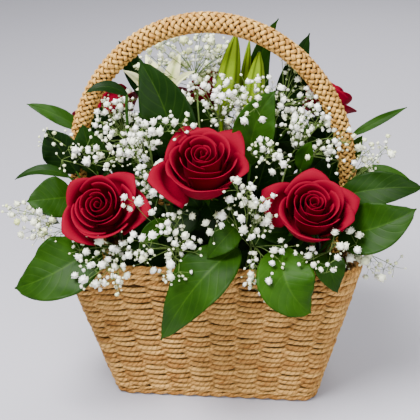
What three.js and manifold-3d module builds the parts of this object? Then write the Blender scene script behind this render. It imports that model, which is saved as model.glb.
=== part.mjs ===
// Flower basket arrangement: a woven rush basket with a plaited carrying handle. A liner in it holds
// a block of floral foam, and roses, lilies, leafy sprigs and gypsophila stand in holes in the foam.
// Millimetres, +Z up, -Y to the front; the origin is the middle of the basket's underside.

import * as THREE from 'three';
import Module from 'manifold-3d';

// ---- driving dimensions ----------------------------------------------------------------------

const clearance = 0.35;

const basket = {
  height: 168,
  top: { length: 300, depth: 180, corner: 26 },
  base: { length: 216, depth: 122, corner: 18 },
  wall: 8,
  floor: 7,
  stakes: 24,
  weaveRings: 10,
  weaveBump: 1.6,
  rimHeight: 21.5,
  rimThickness: 11,
  footHeight: 11.4,
  footThickness: 6.4
};

const handle = {
  rimHalfSpan: 130.8,
  legBottom: 72,
  archHalfSpan: 138,
  archShift: -4,
  archStart: 229,
  archRise: 157.5,
  topRadius: 9.8,
  legRadius: 7.2,
  steps: 30,
  sides: 8,
  plaitBump: 0.07
};

const liner = {
  bottom: { halfLength: 90, halfDepth: 51.5, corner: 24 },
  top: { halfLength: 109, halfDepth: 73, corner: 32 },
  height: 134,
  wall: 1.6
};

const foam = {
  bottom: { halfLength: 87, halfDepth: 47, corner: 26 },
  shoulder: { halfLength: 104, halfDepth: 67, corner: 34 },
  crown: { halfLength: 86, halfDepth: 52, corner: 24 },
  shoulderHeight: 152,
  crownHeight: 172
};

const stemHole = 0.6;
const stemEnd = 100;
const foamExit = 178;

// ---- finishes --------------------------------------------------------------------------------

const rush = { color: 0xc79a5c, roughness: 0.7, metalness: 0 };
const rushPale = { color: 0xd9ae74, roughness: 0.65, metalness: 0 };
const linerFilm = { color: 0x2b332b, roughness: 0.4, metalness: 0 };
const foamGreen = { color: 0x2f5a34, roughness: 0.95, metalness: 0 };
const petalRed = { color: 0xa3061f, roughness: 0.55, metalness: 0 };
const leafGreen = { color: 0x2c5f22, roughness: 0.4, metalness: 0 };
const stemGreen = { color: 0x55813a, roughness: 0.5, metalness: 0 };
const lilyWhite = { color: 0xf1f1dc, roughness: 0.5, metalness: 0 };
const lilyGreen = { color: 0x95b83a, roughness: 0.45, metalness: 0 };
const gypsophilaWhite = { color: 0xf4f5ec, roughness: 0.6, metalness: 0 };

// ---- helpers: closed solids from rings and blades ---------------------------------------------

const wasm = await Module();
wasm.setup();

const vec = (x, y, z) => new THREE.Vector3(x, y, z);
const mix = THREE.MathUtils.lerp;
const arrangement = new THREE.Group();
const standing = [];

function seededRandom(seed) {
  let state = seed >>> 0;
  return () => {
    state = (state + 0x6d2b79f5) >>> 0;
    let t = Math.imul(state ^ (state >>> 15), 1 | state);
    t = (t + Math.imul(t ^ (t >>> 7), 61 | t)) ^ t;
    return ((t ^ (t >>> 14)) >>> 0) / 4294967296;
  };
}

function makeSolid(points, triangles) {
  return new wasm.Manifold(new wasm.Mesh({
    numProp: 3,
    vertProperties: new Float32Array(points.flatMap((point) => point.toArray())),
    triVerts: new Uint32Array(triangles.flat())
  }));
}

// Joins rings of points into one closed skin. A ring of one point is a tip. The ends are closed
// flat, or joined to each other when the rings run round a loop.
function loft(rings, loop = false) {
  const points = rings.flat();
  const starts = [];
  let total = 0;
  for (const ring of rings) {
    starts.push(total);
    total += ring.length;
  }
  const triangles = [];
  const joins = loop ? rings.length : rings.length - 1;
  for (let k = 0; k < joins; k++) {
    const next = (k + 1) % rings.length;
    const count = Math.max(rings[k].length, rings[next].length);
    const low = (i) => starts[k] + (i % rings[k].length);
    const high = (i) => starts[next] + (i % rings[next].length);
    for (let i = 0; i < count; i++) {
      if (rings[k].length > 1) {
        triangles.push([low(i), low(i + 1), high(i + 1)]);
      }
      if (rings[next].length > 1) {
        triangles.push([low(i), high(i + 1), high(i)]);
      }
    }
  }
  if (!loop) {
    const closeEnd = (start, count, flip) => {
      let left = 0;
      let right = count - 1;
      while (right - left > 1) {
        const corner = left <= count - 1 - right ? left + 1 : right - 1;
        const face = [start + left, start + corner, start + right];
        triangles.push(flip ? face : face.reverse());
        if (corner === left + 1) {
          left += 1;
        } else {
          right -= 1;
        }
      }
    };
    closeEnd(starts[0], rings[0].length, false);
    closeEnd(starts.at(-1), rings.at(-1).length, true);
  }
  return makeSolid(points, triangles);
}

// A thin blade about the middle surface P(u, v), with u across from -1 to 1 and v along from 0 to 1.
// The root row, and the tip row where `pointed`, have only two points. Both faces are split into
// triangles alike.
function blade(surface, across, along, thickness, pointed = false) {
  const step = 0.02;
  const rows = [];
  const front = [];
  const back = [];
  for (let j = 0; j <= along; j++) {
    const cells = j === 0 || (pointed && j === along) ? 1 : across;
    rows.push(Array.from({ length: cells + 1 }, (unused, i) => front.length + i));
    for (let i = 0; i <= cells; i++) {
      const u = -1 + (2 * i) / cells;
      const v = j / along;
      const middle = surface(u, v);
      const du = surface(Math.min(1, u + step), v).sub(surface(Math.max(-1, u - step), v));
      const dv = surface(u, Math.min(1, v + step)).sub(surface(u, Math.max(0, v - step)));
      const normal = du.cross(dv).normalize().multiplyScalar(thickness / 2);
      front.push(middle.clone().add(normal));
      back.push(middle.clone().sub(normal));
    }
  }
  const faces = [];
  for (let j = 0; j < along; j++) {
    const low = rows[j];
    const high = rows[j + 1];
    let i = 0;
    let k = 0;
    while (i < low.length - 1 || k < high.length - 1) {
      const lowShare = (i + 0.5) / (low.length - 1);
      const highShare = (k + 0.5) / (high.length - 1);
      if (k === high.length - 1 || (i < low.length - 1 && lowShare <= highShare)) {
        faces.push([low[i], low[i + 1], high[k]]);
        i += 1;
      } else {
        faces.push([low[i], high[k + 1], high[k]]);
        k += 1;
      }
    }
  }
  const offset = front.length;
  const triangles = faces.flatMap(([a, b, c]) => [[a, b, c], [a + offset, c + offset, b + offset]]);
  const edge = [
    ...rows[0].slice(0, -1),
    ...rows.slice(0, -1).map((row) => row.at(-1)).slice(1),
    ...rows.at(-1).slice().reverse(),
    ...rows.slice(1, -1).map((row) => row[0]).reverse()
  ];
  edge.splice(rows[0].length - 1, 0, rows[0].at(-1));
  edge.forEach((a, k) => {
    const b = edge[(k + 1) % edge.length];
    triangles.push([a, a + offset, b], [b, a + offset, b + offset]);
  });
  return makeSolid([...front, ...back], triangles);
}

// A tapering rod of `sides` sides along a list of points.
function rod(path, startRadius, endRadius, sides) {
  const rings = path.map((point, k) => {
    const ahead = path[Math.min(k + 1, path.length - 1)];
    const behind = path[Math.max(k - 1, 0)];
    const tangent = ahead.clone().sub(behind).normalize();
    const sideways = vec(0.31, -0.9, 0.12).cross(tangent).normalize();
    const upward = tangent.clone().cross(sideways);
    const radius = mix(startRadius, endRadius, k / (path.length - 1));
    return Array.from({ length: sides }, (unused, i) => {
      const angle = (2 * Math.PI * i) / sides;
      return point.clone()
        .addScaledVector(sideways, radius * Math.cos(angle))
        .addScaledVector(upward, radius * Math.sin(angle));
    });
  });
  return loft(rings);
}

function bend(from, over, to, steps) {
  return new THREE.QuadraticBezierCurve3(from, over, to).getPoints(steps);
}

// Joins parts that grow together; the largest piece is kept, so sealed hollows and scraps go.
function grow(parts) {
  const joined = parts.reduce((whole, part) => whole.add(part));
  const pieces = joined.decompose();
  return pieces.reduce((best, piece) => (piece.volume() > best.volume() ? piece : best));
}

function toGeometry(solid) {
  const mesh = solid.getMesh();
  const geometry = new THREE.BufferGeometry();
  const positions = new Float32Array(mesh.numVert * 3);
  for (let i = 0; i < mesh.numVert; i++) {
    positions.set(mesh.vertProperties.subarray(i * mesh.numProp, i * mesh.numProp + 3), i * 3);
  }
  geometry.setAttribute('position', new THREE.BufferAttribute(positions, 3));
  geometry.setIndex(new THREE.BufferAttribute(Uint32Array.from(mesh.triVerts), 1));
  return geometry;
}

// Adds a named mesh, turned so that its own +Z faces along `facing` and moved to `place`.
function addPiece(name, solid, finish, place = vec(0, 0, 0), facing = vec(0, 0, 1)) {
  const mesh = new THREE.Mesh(toGeometry(solid), new THREE.MeshStandardMaterial(finish));
  mesh.name = name;
  mesh.position.copy(place);
  mesh.quaternion.setFromUnitVectors(vec(0, 0, 1), facing.clone().normalize());
  mesh.updateMatrixWorld(true);
  arrangement.add(mesh);
  standing.push(solid.transform(mesh.matrixWorld.elements));
}

function standsClear(solid, gap, others = standing) {
  const box = solid.boundingBox();
  return others.every((other) => {
    const near = other.boundingBox();
    const apart = [0, 1, 2].some((axis) => (
      box.min[axis] > near.max[axis] + gap || near.min[axis] > box.max[axis] + gap));
    return apart || solid.minGap(other, gap * 2) >= gap;
  });
}

// ---- the basket ------------------------------------------------------------------------------

// A point on a rounded rectangle; `turn` runs once round it from the middle of the right end at
// equal steps of length.
function roundedRectangle(halfLength, halfDepth, corner, turn) {
  const straightX = halfLength - corner;
  const straightY = halfDepth - corner;
  const quarter = (Math.PI / 2) * corner;
  const side = straightX + straightY + quarter;
  const lap = ((turn % 1) + 1) % 1;
  const sector = Math.floor(lap * 4);
  const [startX, startY] = sector % 2 ? [0, 1] : [1, 0];
  let along = (lap * 4 - sector) * side;
  let x;
  let y;
  const first = startX ? straightY : straightX;
  if (along < first) {
    [x, y] = startX ? [halfLength, along] : [-along, halfDepth];
  } else if (along < first + quarter) {
    const angle = (along - first) / corner;
    [x, y] = startX
      ? [straightX + corner * Math.cos(angle), straightY + corner * Math.sin(angle)]
      : [-straightX - corner * Math.sin(angle), straightY + corner * Math.cos(angle)];
  } else {
    along -= first + quarter;
    [x, y] = startX ? [straightX - along, halfDepth] : [-halfLength, straightY - along];
  }
  return sector >= 2 ? [-x, -y] : [x, y];
}

function basketRing(height, inset, count, bump = () => 0) {
  const part = height / basket.height;
  const halfLength = mix(basket.base.length, basket.top.length, part) / 2;
  const halfDepth = mix(basket.base.depth, basket.top.depth, part) / 2;
  const corner = mix(basket.base.corner, basket.top.corner, part);
  return Array.from({ length: count }, (unused, i) => {
    const inwards = inset - bump(i);
    const [x, y] = roundedRectangle(
      halfLength - inwards, halfDepth - inwards, Math.max(corner - inwards, 3), i / count);
    return vec(x, y, height);
  });
}

function tubRing(outline, height, inset, count) {
  const corner = Math.max(outline.corner - inset, 3);
  return Array.from({ length: count }, (unused, i) => {
    const [x, y] = roundedRectangle(
      outline.halfLength - inset, outline.halfDepth - inset, corner, i / count);
    return vec(x, y, height);
  });
}

// The woven body: every second point round a ring is the middle of a stitch and stands out or in
// by turns from ring to ring and from stake to stake, which is the over-and-under of the weave.
function wovenBody() {
  const count = basket.stakes * 2;
  const wallTop = basket.height - basket.rimHeight - clearance;
  const footInset = basket.footThickness + 0.8;
  const weaveStart = basket.footHeight + 1.6;
  const rings = [
    basketRing(0, footInset, count),
    basketRing(basket.footHeight + clearance, footInset, count)
  ];
  for (let k = 0; k < basket.weaveRings; k++) {
    const height = mix(weaveStart, wallTop, k / (basket.weaveRings - 1));
    const bump = (i) => {
      const seam = i % 2 === 0;
      const over = ((i - 1) / 2 + k) % 2 === 0;
      return seam ? -basket.weaveBump : basket.weaveBump * (over ? 0.9 : -0.5);
    };
    rings.push(basketRing(height, basket.weaveBump, count, bump));
  }
  rings.push(basketRing(wallTop, basket.wall, count));
  rings.push(basketRing(basket.floor, basket.wall, count));
  return loft(rings);
}

// A border of laid cords: the section is swept round the basket, and the cord ridges stand out by
// turns as their twist comes round.
function border(section, twist) {
  const count = basket.stakes * 2;
  const rings = section.map(([inset, height, ridge], k) => (
    basketRing(height, inset, count, (i) => (ridge && (i + k) % 2 ? twist : 0))));
  return loft(rings, true);
}

function rimBorder() {
  const top = basket.height;
  const bottom = top - basket.rimHeight;
  return border([
    [basket.rimThickness, bottom, false],
    [2.2, bottom, false],
    [0.8, bottom + 6, true],
    [1.9, top - 10, false],
    [0.8, top - 5, true],
    [basket.rimThickness / 2, top, false],
    [basket.rimThickness, top - 4, false]
  ], 0.8);
}

function footBorder() {
  return border([
    [basket.footThickness, 0, false],
    [2, 0, false],
    [0.7, 3.4, true],
    [1.8, 6, false],
    [0.7, 8.6, true],
    [basket.footThickness, basket.footHeight, false]
  ], 0.7);
}

// The handle follows the flare of the end walls inside the rim and then arches over.
function handleCurve() {
  const rimFlare = (basket.top.length - basket.base.length) / 2 / basket.height;
  const halfSpanAt = (z) => handle.rimHalfSpan - (basket.height - z) * rimFlare;
  const legLevels = [handle.legBottom, basket.height - basket.rimHeight, basket.height];
  const points = legLevels.map((z) => vec(-halfSpanAt(z), 0, z));
  for (let degrees = 0; degrees <= 180; degrees += 22.5) {
    const angle = THREE.MathUtils.degToRad(180 - degrees);
    const x = handle.archShift + handle.archHalfSpan * Math.cos(angle);
    points.push(vec(x, 0, handle.archStart + handle.archRise * Math.sin(angle)));
  }
  points.push(...legLevels.reverse().map((z) => vec(halfSpanAt(z), 0, z)));
  return new THREE.CatmullRomCurve3(points, false, 'centripetal');
}

function plaitedHandle() {
  const curve = handleCurve();
  const rings = [];
  for (let k = 0; k <= handle.steps; k++) {
    const along = k / handle.steps;
    const centre = curve.getPointAt(along);
    const tangent = curve.getTangentAt(along);
    const outward = tangent.clone().cross(vec(0, 1, 0)).normalize();
    const radius = mix(handle.legRadius, handle.topRadius, Math.sin(Math.PI * along) ** 1.5);
    const inner = k > 0 && k < handle.steps;
    rings.push(Array.from({ length: handle.sides }, (unused, i) => {
      const angle = (2 * Math.PI * (i + 0.5)) / handle.sides;
      const strand = inner ? handle.plaitBump * ((i + k) % 2 ? 0.5 : -1) : 0;
      const reach = radius * (1 + strand);
      return centre.clone()
        .addScaledVector(outward, reach * Math.cos(angle))
        .addScaledVector(vec(0, 1, 0), -reach * Math.sin(angle));
    }));
  }
  return loft(rings);
}

function linerTub() {
  const count = 24;
  const floorTop = basket.floor + clearance;
  return loft([
    tubRing(liner.bottom, floorTop, 0, count),
    tubRing(liner.top, floorTop + liner.height, 0, count),
    tubRing(liner.top, floorTop + liner.height, liner.wall, count),
    tubRing(liner.bottom, floorTop + liner.wall, liner.wall, count)
  ]);
}

function foamBlock() {
  const count = 24;
  const bottom = basket.floor + liner.wall + 2 * clearance;
  return loft([
    tubRing(foam.bottom, bottom, 0, count),
    tubRing(foam.shoulder, foam.shoulderHeight, 0, count),
    tubRing(foam.crown, foam.crownHeight, 0, count)
  ]);
}

addPiece('basket_body', wovenBody(), rush);
addPiece('rim_border', rimBorder(), rush);
addPiece('foot_border', footBorder(), rush);
addPiece('handle', plaitedHandle(), rushPale);
addPiece('liner', linerTub(), linerFilm);

// ---- stems in the foam -----------------------------------------------------------------------

const uncutFoam = foamBlock();
const stemHoles = [];

// The plain hole that a straight stem foot stands in, open at the top of the foam.
function boreFor(path, radius, sides = 4) {
  const along = path[1].clone().sub(path[0]).normalize();
  const bore = [path[0].clone().addScaledVector(along, -0.6), path[1].clone().addScaledVector(along, 4)];
  stemHoles.push(rod(bore, radius + stemHole, radius + stemHole, sides));
}

// The way of a stem from its hole in the foam to `end`, arriving along `arrival`. It is straight
// inside the foam.
function stemPath(foot, end, arrival, steps = 2) {
  const reach = foot.distanceTo(end) * 0.42;
  const over = end.clone().addScaledVector(arrival.clone().normalize(), -reach);
  const line = new THREE.QuadraticBezierCurve3(foot, over, end);
  let leaving = 0.1;
  while (leaving < 0.9 && line.getPoint(leaving).z < foamExit) {
    leaving += 0.05;
  }
  const path = [foot];
  for (let k = 0; k <= steps; k++) {
    path.push(line.getPoint(mix(leaving, 1, k / steps)));
  }
  return path;
}

function stem(path, radius, sides = 4) {
  boreFor(path, radius, sides);
  return rod(path, radius, radius, sides);
}

function footUnder(point, share) {
  return vec(point.x * share, point.y * share, stemEnd);
}

// ---- roses -----------------------------------------------------------------------------------

// Petal whorls of a rose of radius 1 facing +Z. The curve runs from the root to the tip as radius
// and height; `lap` lifts one edge of each petal over its neighbour.
const outerWhorl = { petals: 5, turn: 0, span: 0.66, lap: 0.09, point: 0.07, across: 3, along: 2,
  curve: [[0.09, -0.54], [0.84, -0.68], [0.82, 0.05], [1, 0.03]] };
const middleWhorl = { petals: 4, turn: 0.5, span: 0.84, lap: 0.06, point: 0.06, across: 3, along: 2,
  curve: [[0.09, -0.42], [0.66, -0.52], [0.57, 0.14], [0.74, 0.2]] };
const innerWhorl = { petals: 3, turn: 1.3, span: 1.0, lap: 0.05, point: 0.04, across: 3, along: 2,
  curve: [[0.08, -0.3], [0.46, -0.36], [0.39, 0.22], [0.48, 0.33]] };
const fullBloom = [outerWhorl, middleWhorl, innerWhorl];
const backBloom = [outerWhorl, middleWhorl];

function rosePetal(whorl, index, size) {
  const [root, belly, neck, edge] = whorl.curve.map(([radius, height]) => (
    new THREE.Vector2(radius, height)));
  const profile = new THREE.CubicBezierCurve(root, belly, neck, edge);
  const middle = whorl.turn + (2 * Math.PI * index) / whorl.petals;
  const surface = (u, v) => {
    const at = profile.getPoint(v);
    const spread = whorl.span * mix(0.5, 1, Math.min(1, v * 2.2));
    const angle = middle + u * spread;
    const tip = whorl.point * v * v * (1 - u * u);
    const lift = whorl.lap * u * Math.min(1, v * 1.6);
    const radius = (at.x + lift + tip) * size;
    return vec(radius * Math.cos(angle), radius * Math.sin(angle), (at.y - 0.3 * tip) * size);
  };
  return blade(surface, whorl.across, whorl.along, 0.9);
}

// The heart of the bloom: a closed bud whose rings turn as they rise, so its seams wind round.
function roseHeart(size) {
  const sides = 6;
  const levels = [[0.15, -0.62, 0, 0], [0.15, -0.24, 0, 0], [0.25, 0.06, 0.2, 0.1],
    [0.25, 0.3, 0.5, 0.12], [0.14, 0.41, 1.0, 0.15], [0.08, 0.32, 1.5, 0]];
  return loft(levels.map(([radius, height, turn, seam]) => (
    Array.from({ length: sides }, (unused, i) => {
      const angle = (2 * Math.PI * i) / sides + turn;
      const reach = size * radius * (1 + seam * (i % 2 ? -1 : 1));
      return vec(reach * Math.cos(angle), reach * Math.sin(angle), height * size);
    }))));
}

function roseBloom(size, whorls) {
  const petals = whorls.flatMap((whorl) => (
    Array.from({ length: whorl.petals }, (unused, i) => rosePetal(whorl, i, size))));
  return grow([roseHeart(size), ...petals]);
}

// The green under a bloom: a cup with five sepals that spread as a star, and the stem.
function roseStem(place, facing, size, foot) {
  const axis = facing.clone().normalize();
  const under = -0.62 * size - clearance;
  const seat = new THREE.Matrix4().compose(
    place, new THREE.Quaternion().setFromUnitVectors(vec(0, 0, 1), axis), vec(1, 1, 1));
  const levels = [[3.2, -9.5, 3.2, -9.5], [20, -8.6, 5.6, -4.6], [20, -7.8, 5.4, -3.2],
    [4.6, 0, 4.6, 0]];
  const cup = loft(levels.map(([tipRadius, tipDrop, notchRadius, notchDrop]) => (
    Array.from({ length: 10 }, (unused, i) => {
      const angle = (Math.PI * i) / 5;
      const radius = i % 2 ? notchRadius : tipRadius;
      return vec(radius * Math.cos(angle), radius * Math.sin(angle),
        under + (i % 2 ? notchDrop : tipDrop)).applyMatrix4(seat);
    }))));
  const top = vec(0, 0, under - 8).applyMatrix4(seat);
  return grow([cup, stem(stemPath(foot, top, axis), 2.3)]);
}

const roses = [
  { name: 'left', place: vec(-100, -80, 228), facing: vec(-0.05, -0.76, 0.65), size: 41,
    share: 0.5, whorls: fullBloom },
  { name: 'centre', place: vec(-2, -71, 271), facing: vec(0.06, -0.5, 0.86), size: 47,
    share: 0.4, whorls: fullBloom },
  { name: 'right', place: vec(100, -78, 230), facing: vec(0.14, -0.58, 0.8), size: 42,
    share: 0.48, whorls: fullBloom },
  { name: 'back_left', place: vec(-124, 64, 283), facing: vec(-0.5, 0.42, 0.76), size: 36,
    share: 0.48, whorls: backBloom },
  { name: 'back_centre', place: vec(-8, 76, 296), facing: vec(-0.04, 0.55, 0.83), size: 37,
    share: 0.48, whorls: backBloom },
  { name: 'back_right', place: vec(110, 66, 292), facing: vec(0.42, 0.42, 0.8), size: 36,
    share: 0.46, whorls: backBloom }
];

for (const rose of roses) {
  const foot = footUnder(rose.place, rose.share);
  const bloom = roseBloom(rose.size, rose.whorls);
  addPiece(`rose_${rose.name}`, bloom, petalRed, rose.place, rose.facing);
  addPiece(`rose_${rose.name}_stem`, roseStem(rose.place, rose.facing, rose.size, foot), stemGreen);
}

// ---- lilies ----------------------------------------------------------------------------------

// A slim bud with six ribs, from its base to its tip.
function lilyBud(base, tip, radius) {
  const axis = tip.clone().sub(base);
  const seat = new THREE.Matrix4().compose(
    base, new THREE.Quaternion().setFromUnitVectors(vec(0, 0, 1), axis.clone().normalize()),
    vec(1, 1, 1));
  const levels = [[0.2, 0], [0.75, 0.12], [1, 0.34], [0.82, 0.62], [0.42, 0.88]];
  const rings = levels.map(([share, height]) => (
    Array.from({ length: 12 }, (unused, i) => {
      const angle = (Math.PI * i) / 6;
      const reach = radius * share * (i % 2 ? 0.84 : 1);
      return vec(reach * Math.cos(angle), reach * Math.sin(angle), height * axis.length())
        .applyMatrix4(seat);
    })));
  return loft([...rings, [tip.clone()]]);
}

// A half-open trumpet of six tepals in two whorls on a short throat, facing +Z.
function lilyBloom(size) {
  const parts = [loft([[3.4, -34], [4.6, -22], [3.6, -12]].map(([radius, height]) => (
    Array.from({ length: 6 }, (unused, i) => {
      const angle = (Math.PI * (i + 0.5)) / 3;
      return vec(radius * Math.cos(angle), radius * Math.sin(angle), height);
    }))))];
  for (let i = 0; i < 6; i++) {
    const outer = i % 2;
    const profile = new THREE.CubicBezierCurve(
      new THREE.Vector2(3, -24), new THREE.Vector2(9 + 4 * outer, -6),
      new THREE.Vector2(10 + 6 * outer, 14), new THREE.Vector2(size, 24 + 2 * outer));
    const middle = (Math.PI * i) / 3;
    const surface = (u, v) => {
      const at = profile.getPoint(v);
      const halfWidth = 0.275 * size * Math.sin(Math.PI * (0.04 + 0.92 * v)) ** 0.9;
      const cupped = at.x - 0.1 * halfWidth * u * u;
      const sway = halfWidth * u;
      return vec(
        cupped * Math.cos(middle) - sway * Math.sin(middle),
        cupped * Math.sin(middle) + sway * Math.cos(middle),
        at.y);
    };
    parts.push(blade(surface, 2, 3, 0.8, true));
  }
  return grow(parts);
}

const lily = {
  foot: vec(5, 13, stemEnd),
  fork: vec(10, 24, 250),
  bloomPlace: vec(-54, 22, 311),
  bloomFacing: vec(-0.02, -0.3, 0.95),
  bloomSize: 36,
  buds: [
    { base: vec(6, 24, 283), tip: vec(22, 24, 371), radius: 12 },
    { base: vec(25, 36, 287), tip: vec(34, 36, 361), radius: 5.5 },
    { base: vec(36, 14, 287), tip: vec(45, 16, 354), radius: 10.5 }
  ]
};

function lilyStem() {
  const axis = lily.bloomFacing.clone().normalize();
  const throat = lily.bloomPlace.clone().addScaledVector(axis, -34.6 - clearance);
  const parts = [stem(stemPath(lily.foot, lily.fork, vec(0.02, 0.05, 1)), 2.6)];
  const branch = (end, arrival) => {
    const over = end.clone().addScaledVector(arrival, -0.5 * lily.fork.distanceTo(end));
    return rod(bend(lily.fork.clone().add(vec(0, 0, -3)), over, end, 2), 2.2, 2, 4);
  };
  parts.push(branch(throat, axis));
  for (const bud of lily.buds) {
    const direction = bud.tip.clone().sub(bud.base).normalize();
    parts.push(branch(bud.base.clone().addScaledVector(direction, 3), direction));
    parts.push(lilyBud(bud.base, bud.tip, bud.radius));
  }
  return grow(parts);
}

addPiece('lily_bloom', lilyBloom(lily.bloomSize), lilyWhite, lily.bloomPlace, lily.bloomFacing);
addPiece('lily_stem_and_buds', lilyStem(), lilyGreen);

// ---- leafy sprigs ----------------------------------------------------------------------------

// A broad pointed leaf along a bent line; `face` is roughly the way its upper side looks.
function leaf({ base, over, tip, width, face, fold = 0.18, wave = 0.05 }) {
  const line = new THREE.QuadraticBezierCurve3(base, over, tip);
  const surface = (u, v) => {
    const centre = line.getPoint(v);
    const tangent = line.getTangent(v);
    const sideways = tangent.clone().cross(face).normalize();
    const upward = sideways.clone().cross(tangent).normalize();
    const halfWidth = (width / 2) * Math.max(0.05, Math.sin(Math.PI * v ** 0.82) ** 0.85);
    const rise = fold * Math.abs(u) * halfWidth;
    const ripple = wave * width * Math.abs(u) * Math.sin(9 * v + 2 * u) * Math.sin(Math.PI * v);
    return centre
      .addScaledVector(sideways, -u * halfWidth)
      .addScaledVector(upward, rise + ripple);
  };
  return blade(surface, 2, width > 40 ? 5 : 4, 0.8, true);
}

// A leafy stem: it runs into the first leaf, and the other leaves branch from it at their `joint`,
// a share of the way from the foam to the first leaf.
function sprig({ foot, arrival, leaves }) {
  const heelOf = ({ base, over }) => (
    base.clone().addScaledVector(over.clone().sub(base).normalize(), 2.5));
  const path = stemPath(foot, heelOf(leaves[0]), arrival);
  const parts = [stem(path, 1.5), ...leaves.map(leaf)];
  for (const each of leaves.slice(1)) {
    const step = each.joint * (path.length - 2);
    const k = Math.min(Math.floor(step), path.length - 3);
    const from = path[k + 1].clone().lerp(path[k + 2], step - k);
    const heel = heelOf(each);
    const inwards = each.base.clone().sub(each.over).normalize();
    const knee = heel.clone().addScaledVector(inwards, 0.35 * from.distanceTo(heel));
    parts.push(rod([from, knee, heel], 1.1, 0.9, 3));
  }
  return grow(parts);
}

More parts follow.
